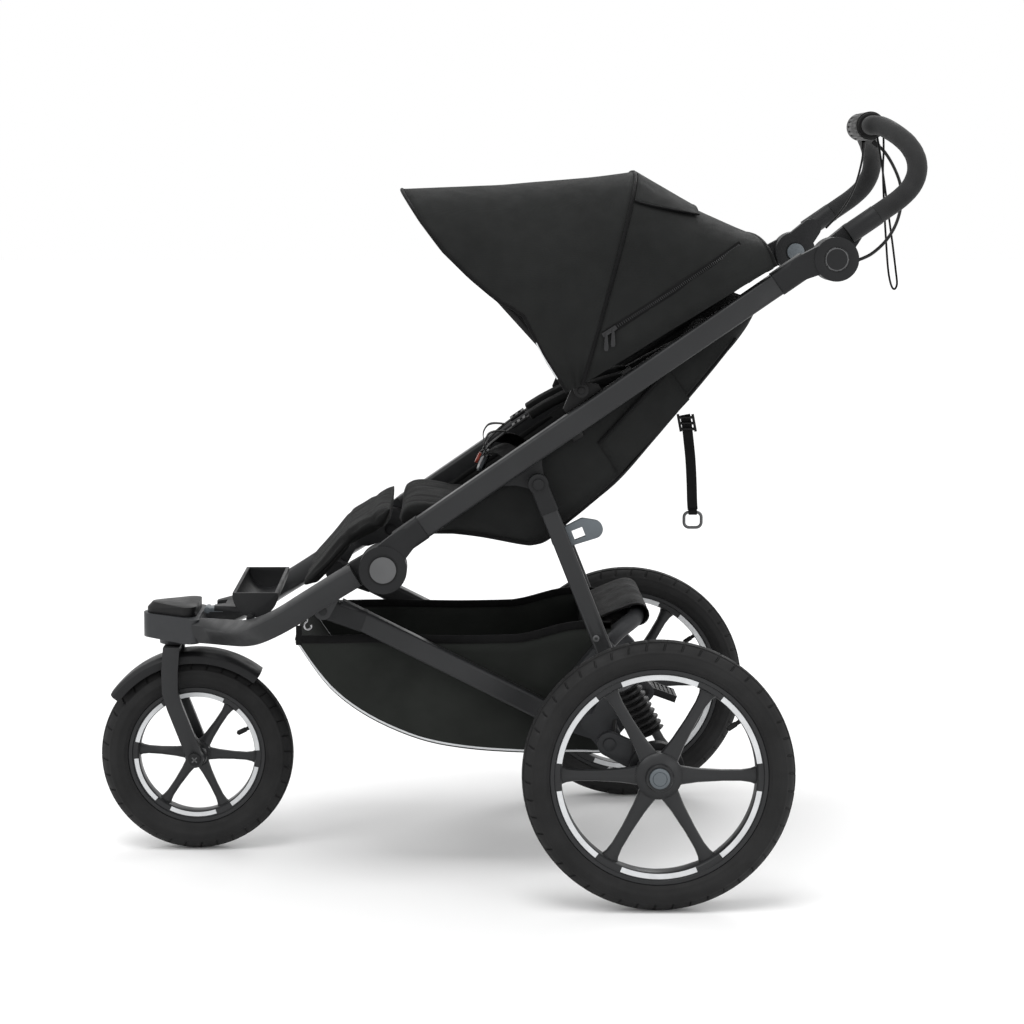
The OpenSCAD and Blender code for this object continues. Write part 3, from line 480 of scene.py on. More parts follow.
# ---- Wheels ----
def tyre(name, node, rim_node, body, blocks):
    """Tyre with rounded side walls, ring lines, cut shoulder blocks and a siped centre rib."""
    low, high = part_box(node)
    centre = (low + high) / 2
    outer = (high.z - low.z) / 2
    wide = high.y - low.y
    rim_r = (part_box(rim_node)[1].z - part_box(rim_node)[0].z) / 2
    crown = outer - wide / 2
    half_side = [-96, -90, -84, -78, -74, -71, -69, -67, -64, -58, -50, -42, -34, -30, -27, -22,
                 -20, -15, -10, -6, -3]
    angles = half_side + [0] + [-a for a in reversed(half_side)]
    walls = [(0.0, 0.68), (0.25, 0.79), (0.32, 0.84), (0.38, 0.84), (0.6, 0.95), (0.85, 0.99)]

    def relief(a, cut):
        a = abs(a)
        if 66 < a < 72:
            return 0.0007
        if 22 <= a <= 28:
            return -0.0014
        if 28 < a <= 62:
            return -0.0022 if cut else 0.0
        if a < 18:
            return -0.0012 if cut and a > 2 else 0.0
        return 0.0

    fractions = [(0.0, False), (0.04, True), (0.11, True), (0.15, False), (0.4, False),
                 (0.7, False)]
    rings = []
    skew = 0.35
    for block in range(blocks):
        for share, cut in fractions:
            section = []
            for up, out in walls:
                r = rim_r + (crown - rim_r) * up
                section.append((r, -wide / 2 * out, 0.0))
            for a in angles:
                rad = math.radians(a)
                r = wide / 2 + relief(a, cut)
                section.append((crown + r * math.cos(rad), r * math.sin(rad), abs(a) / 90))
            for up, out in reversed(walls):
                r = rim_r + (crown - rim_r) * up
                section.append((r, wide / 2 * out, 0.0))
            made = []
            for r, y, lean in section:
                turn = 2 * math.pi * (block + share + skew * lean) / blocks
                made.append(centre + Vector((r * math.cos(turn), y, r * math.sin(turn))))
            rings.append(made)
    Shape().loft(rings, around=True).piece(name, "tyre_rubber", body, [node], angle=50)


def rim(name, node, body, hub_r, collar_r, pocket, turn, inset, spoke_hub, spoke_rim):
    """Six-spoke moulded rim: lipped ring, ridged spokes with flared ends, stepped hub."""
    low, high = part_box(node)
    centre = (low + high) / 2
    outer = (high.z - low.z) / 2
    hub_y = (high.y - low.y) / 2
    inner = outer - inset
    lip = 0.016
    shape = Shape()
    half = [(inner, -0.008), (inner + 0.0012, -0.0115), (inner + 0.003, -0.0132),
            (outer - 0.008, -0.0136), (outer - 0.0066, -lip), (outer - 0.0015, -lip),
            (outer, -0.0145)]
    shape.lathe(centre, half + [(r, -y) for r, y in reversed(half)], 120)
    stations = [(0.0, 0.62, 7.5), (0.1, 0.55, 7.5), (0.25, 0.47, 7.0), (0.55, 0.42, 6.6),
                (0.8, 0.46, 6.6), (0.92, 0.6, 6.6), (1.0, 0.85, 6.6)]
    start = hub_r - 0.006
    reach = inner + 0.0015 - start
    for k in range(6):
        a = math.radians(turn + 60 * k)
        out = Vector((math.cos(a), 0, math.sin(a)))
        side = Vector((-math.sin(a), 0, math.cos(a)))
        rings = []
        for share, spread, thick in stations:
            half_w = spread * (spoke_hub + (spoke_rim - spoke_hub) * share)
            t = thick * MM
            section = [(-1.0, -0.25), (-0.86, -0.62), (-0.3, -1.0), (0.3, -1.0), (0.86, -0.62),
                       (1.0, -0.25), (1.0, 0.25), (0.86, 0.62), (0.3, 1.0), (-0.3, 1.0),
                       (-0.86, 0.62), (-1.0, 0.25)]
            spot = centre + (start + reach * share) * out
            rings.append([spot + p * half_w * side + q * t * ACROSS for p, q in section])
        shape.loft(rings)
    bore = 0.0061
    half = [(bore, -hub_y + (0.008 if pocket else 0.0))]
    if pocket:
        half += [(pocket, -hub_y + 0.008), (pocket, -hub_y + 0.0006)]
    half += [(collar_r - 0.001, -hub_y), (collar_r, -hub_y + 0.0012),
             (collar_r + 0.0012, -hub_y + 0.006), (hub_r - 0.004, -0.0125), (hub_r, -0.009)]
    shape.lathe(centre, half + [(r, -y) for r, y in reversed(half)], 72)
    shape.piece(name, "frame_coat", body, [node], angle=32)


def reflective_arcs(name, node, body, turn, inner, outer, face):
    """White retro-reflective segments between the spoke ends, on both faces of a rim."""
    centre = middle(node)
    gap = 8.0
    shape = Shape()
    for side in (-1, 1):
        for k in range(6):
            rings = []
            for j in range(19):
                a = math.radians(turn + 60 * k + gap + (60 - 2 * gap) * j / 18)
                out = Vector((math.cos(a), 0, math.sin(a)))
                rings.append([centre + r * out + side * y * ACROSS
                              for r, y in ((inner, face), (outer, face), (outer, face + 0.0006),
                                           (inner, face + 0.0006))])
            shape.loft(rings)
    shape.piece(name, None, body, material=finish["reflective"])


def valve(name, node, body, angle, inner):
    """Tyre valve that points from the rim to the hub, with its cap."""
    centre = middle(node)
    a = math.radians(angle)
    out = Vector((math.cos(a), 0, math.sin(a)))
    stem = [centre + (inner + 0.004 - d) * out for d in (0.0, 0.010, 0.0105, 0.024, 0.0245, 0.026)]
    Shape().sweep(stem, circle(0.0036, 14), ACROSS, [1.0, 0.85, 1.1, 1.1, 0.8, 0.5]).piece(
        name, "black_plastic", body)


def hub_cap(name, node, body, side):
    """Domed release button with a fine ring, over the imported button."""
    low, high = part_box(node)
    c = (low + high) / 2
    r = (high.x - low.x) / 2
    face = low.y if side < 0 else high.y
    back = high.y if side < 0 else low.y
    flat = face - c.y
    deep = back - c.y
    step = 0.0008 * side
    profile = [(0, deep), (r, deep), (r, flat - 2 * step), (r - 0.0008, flat - step),
               (r * 0.72, flat), (r * 0.68, flat - step), (r * 0.64, flat), (0, flat + 0.4 * step)]
    Shape().lathe(c, profile, 56).piece(name, "button_grey", body, [node], angle=50)


def make_wheels():
    for side, sign in SIDES.items():
        body, rim_node = f"rear_wheel_{side}", f"rear_rim_{side}"
        tyre(f"rear_tread_{side}", f"rear_tyre_{side}", rim_node, body, 46)
        rim(f"rear_wheel_rim_{side}", rim_node, body, 0.034, 0.020, 0.0153, 0, 0.018, 0.024, 0.0165)
        reflective_arcs(f"rear_reflectors_{side}", rim_node, body, 0, 0.1432, 0.1508, 0.0136)
        valve(f"rear_valve_{side}", rim_node, body, 34, 0.142)
        hub_cap(f"rear_hub_button_{side}", f"hub_button_{side}", f"hub_button_{side}", sign)
    tyre("front_tread", "front_tyre", "front_rim", "front_wheel", 36)
    rim("front_wheel_rim", "front_rim", "front_wheel", 0.021, 0.016, 0, -4, 0.018, 0.0175, 0.013)
    reflective_arcs("front_reflectors", "front_rim", "front_wheel", -4, 0.0935, 0.1002, 0.0136)
    valve("front_valve", "front_rim", "front_wheel", 26, 0.092)
    caps = Shape()
    centre = middle("front_axle")
    reach = (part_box("front_axle")[1].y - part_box("front_axle")[0].y) / 2
    for sign in (-1, 1):
        face = sign * (reach + 0.0006)
        caps.lathe(centre, [(0, sign * (reach - 0.004)), (0.0098, sign * (reach - 0.004)),
                            (0.0098, face - sign * 0.001), (0.0085, face), (0, face)], 40)
    caps.piece("front_axle_caps", "dark_plastic", "fork")
    cross = Shape()
    for sign in (-1, 1):
        for angle in (45, 135):
            a = math.radians(angle)
            line = [centre + Vector((k * math.cos(a), sign * (reach + 0.0006), k * math.sin(a)))
                    for k in (-0.0055, 0.0055)]
            cross.sweep(line, slab(0.0012, 0.0022, 0.0005, 1))
    cross.piece("front_axle_slots", "cap_grey", "fork")


# ---- Canopy ----
CANOPY_HALF = 222
BOW_CROWN, TIP, HOOP, HOOP_LOW = (656, 269), (342, 453), (749, 89), (737, 42)
FRONT_FOOT, HUB_UP = (377, 62), (402, 59)
CANOPY_MIDDLE = Vector((560, 0, 90))
EDGE_SWING = [(0, 0), (64, 8), (137, 24), (171, 8), (223, -2), (279, -8), (334, -6), (390, 0)]


def arch_point(t, foot, crown, half=CANOPY_HALF):
    """Point of an arch across the stroller: t runs from 0 at the left foot to 1 at the right."""
    a = math.pi * t
    y = -half * math.copysign(abs(math.cos(a)) ** 0.72, math.cos(a))
    h = max(math.sin(a), 0.0001) ** 0.62
    return foot[0] + (crown[0] - foot[0]) * h, y, foot[1] + (crown[1] - foot[1]) * h


def edge_point(t):
    """Front edge of the canopy, which swings forward of the straight line half way up."""
    u, y, w = arch_point(t, FRONT_FOOT, TIP)
    heights, swings = zip(*EDGE_SWING)
    return u + float(np.interp(w - FRONT_FOOT[1], heights, swings)), y, w


def soft_noise(p, scale, seed):
    return noise.noise(Vector((p[0] * scale + seed, p[1] * scale, p[2] * scale)))


def cloth_grid(first, last, rows, cols, sag, folds, seed):
    """Rows of points between two edge curves; sag pulls the middle in and folds ripples it."""
    grid = []
    for i in range(rows + 1):
        s = i / rows
        row = []
        for k in range(cols + 1):
            t = k / cols
            a, b = first(t), last(t)
            p = [a[j] + (b[j] - a[j]) * s for j in range(3)]
            pull = sag * math.sin(math.pi * s) ** 0.8 * math.sin(math.pi * t) ** 0.4
            fan = math.sin(5.5 * s * math.pi + 3.0 * soft_noise(p, 0.006, seed))
            low_part = max(0.0, math.cos(math.pi * t) ** 2)
            ripple = folds * (0.45 * fan * math.sin(math.pi * s) * (0.35 + low_part)
                              + soft_noise(p, 0.014, seed + 9) * math.sin(math.pi * s))
            out = (Vector(p) - CANOPY_MIDDLE).normalized()
            p = [p[j] - out[j] * (pull + ripple * 0.5 + 0.5 * folds * math.sin(math.pi * s))
                 for j in range(3)]
            row.append(seat(p[0], p[2], p[1]))
        grid.append(row)
    return grid


def cloth_piece(name, grid, slot, thick, replaces=()):
    """Sheet of cloth of a real thickness over a grid of points."""
    obj = Shape().loft(grid, closed=False).piece(name, slot, None, replaces, angle=60)
    solid = obj.modifiers.new("thickness", "SOLIDIFY")
    solid.thickness, solid.offset = thick, 0.0
    return bake(obj)


def edge_tape(name, path, body_pair, slot, width, thick, across=None):
    """Bound edge or welt that follows a path."""
    section = slab(width, thick, min(width, thick) * 0.45, 2)
    shape = Shape().sweep(path, section, across or Vector((0.31, 0.05, 0.95)))
    obj = shape.piece(name, slot, material=finish["binding"] if slot is None else None)
    if isinstance(body_pair, str):
        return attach(obj, body_pair)
    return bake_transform(obj)


def canopy_blend(a, b, crown_a, crown_b):
    """Where the fabric turns from one bow to the next, along the chord between their crowns."""
    return a, b, seat(crown_a[0], crown_a[1]), seat(crown_b[0], crown_b[1])


def on_cloth(tree, u, w, lift):
    """Point on the left side of the canopy at a place of the side view, lifted off the cloth."""
    start = seat(u, w, -600)
    hit, normal, _, _ = tree.ray_cast(start, ACROSS)
    if hit is None:
        hit, normal = seat(u, w, -CANOPY_HALF), Vector((0, -1, 0))
    if normal.y > 0:
        normal = -normal
    return hit + normal * lift * MM


def make_canopy():
    def mid(t):
        return arch_point(t, HUB_UP, BOW_CROWN)

    def back(t):
        return arch_point(t, HOOP_LOW, HOOP)

    front_rows, rear_rows, cols = 26, 20, 72
    front_grid = cloth_grid(edge_point, mid, front_rows, cols, 5.0, 4.0, 3.0)
    rear_grid = cloth_grid(mid, back, rear_rows, cols, 5.0, 3.0, 17.0)
    front_span = canopy_blend("canopy_mid", "canopy_front", BOW_CROWN, TIP)
    rear_span = canopy_blend("upper_frame", "canopy_mid", HOOP, BOW_CROWN)
    front = cloth_piece("canopy_front_cloth", front_grid, "shell_fabric", 0.0022,
                        ["canopy_front_panel"])
    rear = cloth_piece("canopy_rear_cloth", rear_grid, "shell_fabric", 0.0022,
                       ["canopy_rear_panel"])
    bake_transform(front)
    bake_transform(rear)
    step = cols + 1
    quads = [(a, a + 1, a + step + 1, a + step)
             for a in (i * step + k for i in range(rear_rows) for k in range(cols))]
    tree = BVHTree.FromPolygons([p for row in rear_grid for p in row], quads)

    def along(point, count=60, lift=0.0):
        path = []
        for k in range(count + 1):
            u, y, w = point(k / count)
            out = (Vector((u, y, w)) - CANOPY_MIDDLE).normalized() * lift
            path.append(seat(u + out[0], w + out[2], y + out[1]))
        return path

    edge_tape("canopy_front_binding", along(edge_point, 72), front_span, None, 0.0052, 0.0052)
    edge_tape("canopy_mid_welt", along(mid, 72, 0.8), rear_span, None, 0.0052, 0.0052)
    edge_tape("canopy_rear_binding", along(back, 72), "upper_frame", None, 0.0052, 0.0052)
    lining = [[seat(*_inset(p, 8.4)) for p in _row(mid, back, 0.02 + 0.08 * i)] for i in range(13)]
    liner = cloth_piece("canopy_lining", lining, "seat_fabric", 0.0012)
    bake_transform(liner)
    # curtain that closes the canopy from the rear hoop down to the top of the seat

    def seat_top(t):
        return arch_point(t, (733, 42), (716, 40), CANOPY_HALF - 3)

    drop = [[seat(p[0] - 3 * math.sin(math.pi * i / 8), p[2], p[1])
             for p in _row(back, seat_top, i / 8, cols)] for i in range(9)]
    curtain = cloth_piece("canopy_back_curtain", drop, "shell_fabric", 0.002)
    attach(curtain, "upper_frame")
    # long zip above the tube, from the hub up to the rear hoop
    places = [(470, 103), (520, 101), (570, 99), (620, 98), (670, 97), (715, 96)]
    line = smooth_path([on_cloth(tree, u, w, 0.9) for u, w in places], 8)
    edge_tape("canopy_zip_tape", line, rear_span, None, 0.0115, 0.0014, ABOVE)
    teeth = Shape()
    for a, b in zip(line, line[1:]):
        steps = max(1, round((b - a).length / 0.0032))
        for k in range(steps):
            p = a.lerp(b, k / steps) - 0.0011 * ACROSS
            reach = 0.0007 * (b - a).normalized()
            teeth.sweep([p - reach, p + reach], slab(0.0042, 0.0016, 0.0004, 1), ABOVE)
    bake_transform(teeth.piece("canopy_zip_teeth", None, material=finish["zip_metal"]))
    pulls = Shape()
    for u, w in ((474, 103), (486, 102.5)):
        top = on_cloth(tree, u, w, 3.4)
        slide = [top + 0.006 * ALONG, top - 0.006 * ALONG]
        pulls.sweep(slide, slab(0.0085, 0.004, 0.0015, 2), ABOVE, [0.8, 1.0])
        drop = [top + Vector((0.0, -0.0026, 0.001 - k)) for k in (0.0, 0.008, 0.018, 0.024, 0.027)]
        pulls.sweep(drop, slab(0.0065, 0.0018, 0.0008, 2), BACK, [0.5, 0.7, 1.0, 1.1, 0.7])
    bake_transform(pulls.piece("canopy_zip_pulls", None, material=finish["zip_metal"]))
    # peek-a-boo flap over the window behind the middle bow
    flap = []
    for i in range(13):
        s = 0.02 + 0.50 * i / 12
        row = []
        reach = 0.215 - 0.05 * (i / 12) ** 2
        for k in range(41):
            t = 0.5 + reach * (2 * k / 40 - 1)
            a, b = mid(t), back(t)
            p = [a[j] + (b[j] - a[j]) * s for j in range(3)]
            edge = abs(2 * k / 40 - 1) ** 8
            lift = 3.2 + 0.8 * math.sin(math.pi * i / 12) + 1.5 * edge
            row.append(seat(*_inset(p, -lift + 5.0 * math.sin(math.pi * s) ** 0.8)))
        flap.append(row)
    cover = cloth_piece("canopy_window_flap", flap, "shell_fabric", 0.0018)
    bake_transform(cover)
    for side, k in (("left", 0), ("right", 40)):
        edge_tape(f"canopy_flap_edge_{side}", [row[k] for row in flap], rear_span, None, 0.003,
                  0.003, ACROSS + 0.3 * ABOVE)
    edge_tape("canopy_flap_edge_rear", flap[-1], rear_span, None, 0.003, 0.003, ALONG)
    # reflective tab at the bottom of the front edge
    tab = [edge_point(0.004 + 0.005 * k) for k in range(6)]
    path = [seat(u - 1.5, w, y - 1.8) for u, y, w in tab]
    edge_tape("canopy_reflective_tab", path, front_span, None, 0.0016, 0.004).data.materials[0] = (
        finish["reflective"])


def _row(first, last, s, cols=60):
    return [[a[j] + (b[j] - a[j]) * s for j in range(3)]
            for a, b in ((first(k / cols), last(k / cols)) for k in range(cols + 1))]


def _inset(p, depth):
    """Place (u, w, y) of a canopy point moved towards the inside of the canopy."""
    out = (Vector(p) - CANOPY_MIDDLE).normalized()
    return p[0] - out[0] * depth, p[2] - out[2] * depth, p[1] - out[1] * depth


# ---- Seat: sling, pads and calf rest ----
SLING_HALF = 187


def sling_side():
    """Lower outline of the sling in the side view, from the front edge round to the top."""
    corners = [(72, 10), (88, -1), (142, -47), (190, -95), (206, -107), (226, -112), (262, -108),
               (320, -103), (378, -94), (470, -69), (584, -37), (650, -15), (690, 10)]
    return [(p.x, p.z) for p in smooth_path([Vector((u, 0, w)) for u, w in corners], 6)]


def make_sling():
    """Fabric tub between the main tubes, with round corners, soft folds and a bulged back."""
    half, bend, top = SLING_HALF, 34.0, 9.0
    grid = []
    outline = sling_side()
    for u, w in outline:
        wall = max(top - w, 0.5)
        r = min(bend, wall * 0.9)
        section = [(-half, top - wall * k / 6) for k in range(6)
                   if top - wall * k / 6 > w + r] or [(-half, top)]
        while len(section) < 6:
            section.append(section[-1])
        for k in range(7):
            a = math.radians(90 * k / 6)
            section.append((-half + r - r * math.cos(a), w + r - r * math.sin(a)))
        for k in range(1, 10):
            section.append(((-half + r) * (1 - k / 10), w))
        mirrored = [(-y, h) for y, h in reversed(section)]
        row = []
        for y, h in section + [(0, w)] + mirrored:
            p = (u, y, h)
            flat = 1 - min(1.0, abs(y) / half) ** 6
            ripple = 2.2 * soft_noise(p, 0.011, 5.0) + 1.0 * soft_noise(p, 0.03, 8.0)
            behind = (7.0 * flat * min(1.0, max(0.0, (u - 250) / 120))
                      * min(1.0, max(0.0, (640 - u) / 90)))
            side_out = 1.6 * soft_noise(p, 0.014, 21.0) * (1 if abs(y) > half - 2 else 0)
            row.append(seat(u, h - behind * (1 - abs(y) / half) - flat * ripple * 0.6,
                            y - math.copysign(abs(side_out), y)))
        grid.append(row)
    tub = cloth_piece("seat_tub", grid, "shell_fabric", 0.0026, ["seat_sling"])
    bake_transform(tub)
    # welts along both lower edges, a hem channel under each tube, and a pocket and a clip on each side
    for side, sign in SIDES.items():
        path = [seat(u, w + 5.5, sign * (half - 4.0)) for u, w in outline[6:-8]]
        welt = Shape().sweep(path, circle(0.0021, 8)).piece(f"seat_welt_{side}", None,
                                                            material=finish["binding"])
        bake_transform(welt)
        hem = [seat(u, 3.0 + 0.8 * math.sin(u / 21), sign * (half + 1.5))
               for u in range(76, 684, 16)]
        Shape().sweep(hem, slab(0.007, 0.010, 0.003, 2)).piece(
            f"seat_hem_{side}", None, "upper_frame", material=finish["binding"])
        pocket = []
        for i in range(9):
            row = []
            for k in range(13):
                u = 372 + 150 * k / 12
                bottom = -86 + 0.22 * (u - 372)
                w = bottom + (-30 + 0.22 * (u - 372) - bottom) * i / 8
                bulge = 4.5 * math.sin(math.pi * k / 12) * (0.35 + 0.65 * i / 8)
                row.append(seat(u, w, sign * (half + 2.2 + bulge)))
            pocket.append(row)
        bag = cloth_piece(f"seat_pocket_{side}", pocket, "shell_fabric", 0.0016)
        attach(bag, "backrest")
        Shape().sweep(pocket[-1], circle(0.0022, 8)).piece(
            f"seat_pocket_edge_{side}", None, "backrest", material=finish["binding"])
        clip = Shape()
        spot = seat(352, 0, sign * (half + 3.5))
        clip.sweep([spot + d * ALONG for d in (-0.009, -0.008, 0.008, 0.009)],
                   slab(0.016, 0.005, 0.002, 3), ABOVE, [0.8, 1.0, 1.0, 0.8])
        clip.piece(f"seat_clip_{side}", "black_plastic", "backrest")


def puffed(obj, voxel, cap, pressure, seam=None):
    """Swells a closed pad with the cloth solver, then presses the sewn lines back in."""
    scene = bpy.context.scene
    remesh = obj.modifiers.new("remesh", "REMESH")
    remesh.mode, remesh.voxel_size = "VOXEL", voxel
    bake(obj)
    rest = np.empty(len(obj.data.vertices) * 3)
    obj.data.vertices.foreach_get("co", rest)
    rest = rest.reshape(-1, 3)
    cloth = obj.modifiers.new("swell", "CLOTH")
    cloth.settings.use_pressure = True
    cloth.settings.uniform_pressure_force = pressure
    cloth.settings.effector_weights.gravity = 0
    cloth.settings.quality = 4
    cloth.settings.tension_stiffness = cloth.settings.compression_stiffness = 22
    cloth.point_cache.frame_start, cloth.point_cache.frame_end = 1, 20
    for step in range(1, 21):
        scene.frame_set(step)
    bake(obj)
    scene.frame_set(1)
    moved = np.empty(len(obj.data.vertices) * 3)
    obj.data.vertices.foreach_get("co", moved)
    moved = moved.reshape(-1, 3)
    travel = moved - rest
    size = np.linalg.norm(travel, axis=1, keepdims=True)
    moved = rest + travel * np.minimum(1.0, cap / np.maximum(size, 1e-9))
    if seam is not None:
        moved = seam(moved)
    obj.data.vertices.foreach_set("co", moved.ravel())
    soften = obj.modifiers.new("soften", "SMOOTH")
    soften.factor, soften.iterations = 0.5, 3
    fine = obj.modifiers.new("fine", "SUBSURF")
    fine.levels = fine.render_levels = 1
    bake(obj)
    obj.data.shade_smooth()
    return obj


def side_prism(points, half, cuts=10):
    """Closed pad from a side outline, its outline pulled in towards both sides."""
    shape = Shape()
    centre = [sum(p[i] for p in points) / len(points) for i in (0, 1)]
    rings = []
    for k in range(cuts + 1):
        y = -half + 2 * half * k / cuts
        edge = abs(2 * k / cuts - 1)
        pull = 1 - 0.03 * edge ** 6
        rings.append([seat(centre[0] + (u - centre[0]) * pull,
                           centre[1] + (w - centre[1]) * pull, y) for u, w in points])
    return shape.loft(rings)


def channels(lines, axis_u, depth, width):
    """Presses sewn lines into a pad: each line is a place along u, or across at a y."""
    def press(points):
        rel = points - np.array(FOLD)
        u = rel @ np.array(ALONG) / MM
        w = rel @ np.array(ABOVE) / MM
        y = points[:, 1] / MM
        total = np.zeros(len(points))
        for kind, place in lines:
            away = (u if kind == "u" else (w if kind == "w" else np.abs(y))) - place
            total = np.maximum(total, np.exp(-(away / width) ** 2))
        middle_point = rel.mean(0)
        into = axis_u(rel - middle_point)
        return points + into * (total * depth * MM)[:, None]
    return press


def inward(normal):
    """Direction towards the middle plane of a pad whose face is turned along normal."""
    n = np.array(normal)

    def direction(rel):
        side = np.sign(rel @ n)
        return -side[:, None] * n
    return direction


def make_pads():
    outline = [(64, 56), (44, 40), (100, 7), (152, -39), (205, -90), (222, -83), (150, -16),
               (92, 38)]
    cushion = side_prism(outline, 168).piece("seat_cushion", "seat_fabric", None, ["seat_pad"])
    sloped = (seat(0.568, 0.823) - seat(0, 0)).normalized()
    puffed(cushion, 0.006, 0.008, 4.0,
           channels([("y", 60), ("y", 118), ("u", 132)], inward(sloped), 3.0, 4.0))
    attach(cushion, "upper_frame")

    back_line = [(236, -86), (240, -100), (262, -97), (378, -83), (467, -58), (582, -27), (645, -8),
                 (638, 7), (572, -12), (456, -44), (374, -68), (262, -80)]
    rest = side_prism(back_line, 168).piece("backrest_cushion", "seat_fabric", None,
                                            ["backrest_pad"])
    across = np.array(ABOVE)
    puffed(rest, 0.006, 0.008, 4.0,
           channels([("u", 330), ("u", 420), ("u", 510), ("y", 112)], inward(across), 3.5, 4.5))
    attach(rest, "backrest")

    calf_line = [(62, 58), (38, 62), (-26, 65), (-74, 51), (-126, 38), (-128, 31), (-74, 41),
                 (-27, 54), (34, 46)]
    calf = side_prism(calf_line, 144).piece("calf_cushion", "seat_fabric", None, ["calf_rest"])
    puffed(calf, 0.005, 0.006, 4.0,
           channels([("u", -30), ("u", 20), ("y", 50)], inward(across), 2.5, 3.5))
    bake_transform(calf)


# ---- Harness ----
def strap(shape, path, width, thick=0.0016, across=ACROSS):
    shape.sweep(path, slab(width, thick, thick * 0.45, 2), across)


def make_harness():
    belts, pads = Shape(), Shape()
    for sign in (-1, 1):
        y = 57 * sign
        route = [(560, 6), (515, 12), (470, 17), (425, 30), (380, 42), (340, 48), (300, 50),
                 (262, 50), (232, 47), (214, 40)]
        path = smooth_path([seat(u, w, y - sign * max(0, (260 - u)) * 0.5) for u, w in route], 6)
        strap(belts, path, 0.025, 0.0016)
        cover = [(474, 15.5), (455, 21), (425, 31), (380, 43), (340, 49), (312, 50.5), (306, 50.5)]
        swell = smooth_path([seat(u, w, y) for u, w in cover], 6)
        grow = [min(1.0, 0.45 + 0.55 * min(i, len(swell) - 1 - i) / 4) for i in range(len(swell))]
        pads.sweep(swell, slab(0.050, 0.013, 0.006, 4), ACROSS, grow)
        waist = [(262, -60, 172), (262, -20, 160), (258, 8, 132), (250, 26, 100), (240, 36, 70),
                 (226, 38, 44), (214, 37, 26)]
        path = smooth_path([seat(u, w, sign * y2) for u, w, y2 in waist], 6)
        strap(belts, path, 0.025, 0.0016, ALONG)
        tail = [(262, 51, 57), (250, 60, 60), (238, 63, 66), (226, 57, 70), (220, 46, 72),
                (222, 34, 74)]
        path = smooth_path([seat(u, w, sign * y2) for u, w, y2 in tail], 6)
        strap(belts, path, 0.020, 0.0014)
    crotch = [(186, -42), (192, -26), (196, -6), (199, 14), (202, 26)]
    strap(belts, smooth_path([seat(u, w) for u, w in crotch], 6), 0.030, 0.0018)
    webbing = belts.piece("harness_webbing", "webbing", None, ["harness_straps"])
    padding = pads.piece("harness_shoulder_pads", "seat_fabric")
    for obj in (webbing, padding):
        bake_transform(obj)
    sliders = Shape()
    for sign in (-1, 1):
        spot = seat(288, 51, 57 * sign)
        for k in (-1, 0, 1):
            bar = [spot + k * 0.010 * ALONG + 0.017 * s * ACROSS for s in (-1, 1)]
            sliders.sweep(bar, slab(0.006, 0.005, 0.002, 2), ALONG)
        for s in (-1, 1):
            edge = [spot + 0.017 * s * ACROSS + d * ALONG for d in (-0.013, 0.013)]
            sliders.sweep(edge, slab(0.004, 0.005, 0.0016, 2))
    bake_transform(sliders.piece("harness_sliders", "black_plastic"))


def make_buckle():
    """Shield-shaped buckle with a stepped face and two side tongues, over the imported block."""
    low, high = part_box("harness_button")
    centre = (low + high) / 2
    tilt = math.radians(30)
    run = (ALONG * math.cos(tilt) + ABOVE * math.sin(tilt)).normalized()
    face = (ABOVE * math.cos(tilt) - ALONG * math.sin(tilt)).normalized()
    shape = Shape()
    layers = [(-0.0150, 0.84), (-0.0130, 1.0), (-0.0075, 1.0), (-0.0062, 0.92), (-0.0056, 0.9)]
    outline = slab(0.046, 0.040, 0.013, 6)
    rings = [[centre + face * z + ACROSS * x * s + run * y * s * (1 - 0.18 * abs(x) / 0.023)
              for x, y in outline] for z, s in layers]
    shape.loft(rings)
    for sign in (-1, 1):
        tongue = [centre - 0.008 * face + sign * ACROSS * d for d in (0.020, 0.026, 0.033)]
        shape.sweep(tongue, slab(0.026, 0.006, 0.002, 2), run, [1.0, 0.95, 0.8])
    shape.piece("harness_buckle_shield", "buckle_grey", "upper_frame", ["harness_buckle"], angle=35)


# ---- Basket ----
def basket_outline():
    """Side outline of the basket from its front rim, under its sloping floor, to its back rim."""
    corners = [(-541, 368), (-532, 350), (-488, 290), (-429, 245), (-352, 211), (-276, 196),
               (-184, 190), (-110, 190), (-72, 190), (-62, 200), (-60, 222), (-76, 246), (-91, 270),
               (-92, 330), (-92, 380)]
    return [(p.x, p.z) for p in smooth_path([Vector((x, 0, z)) for x, z in corners], 5)]


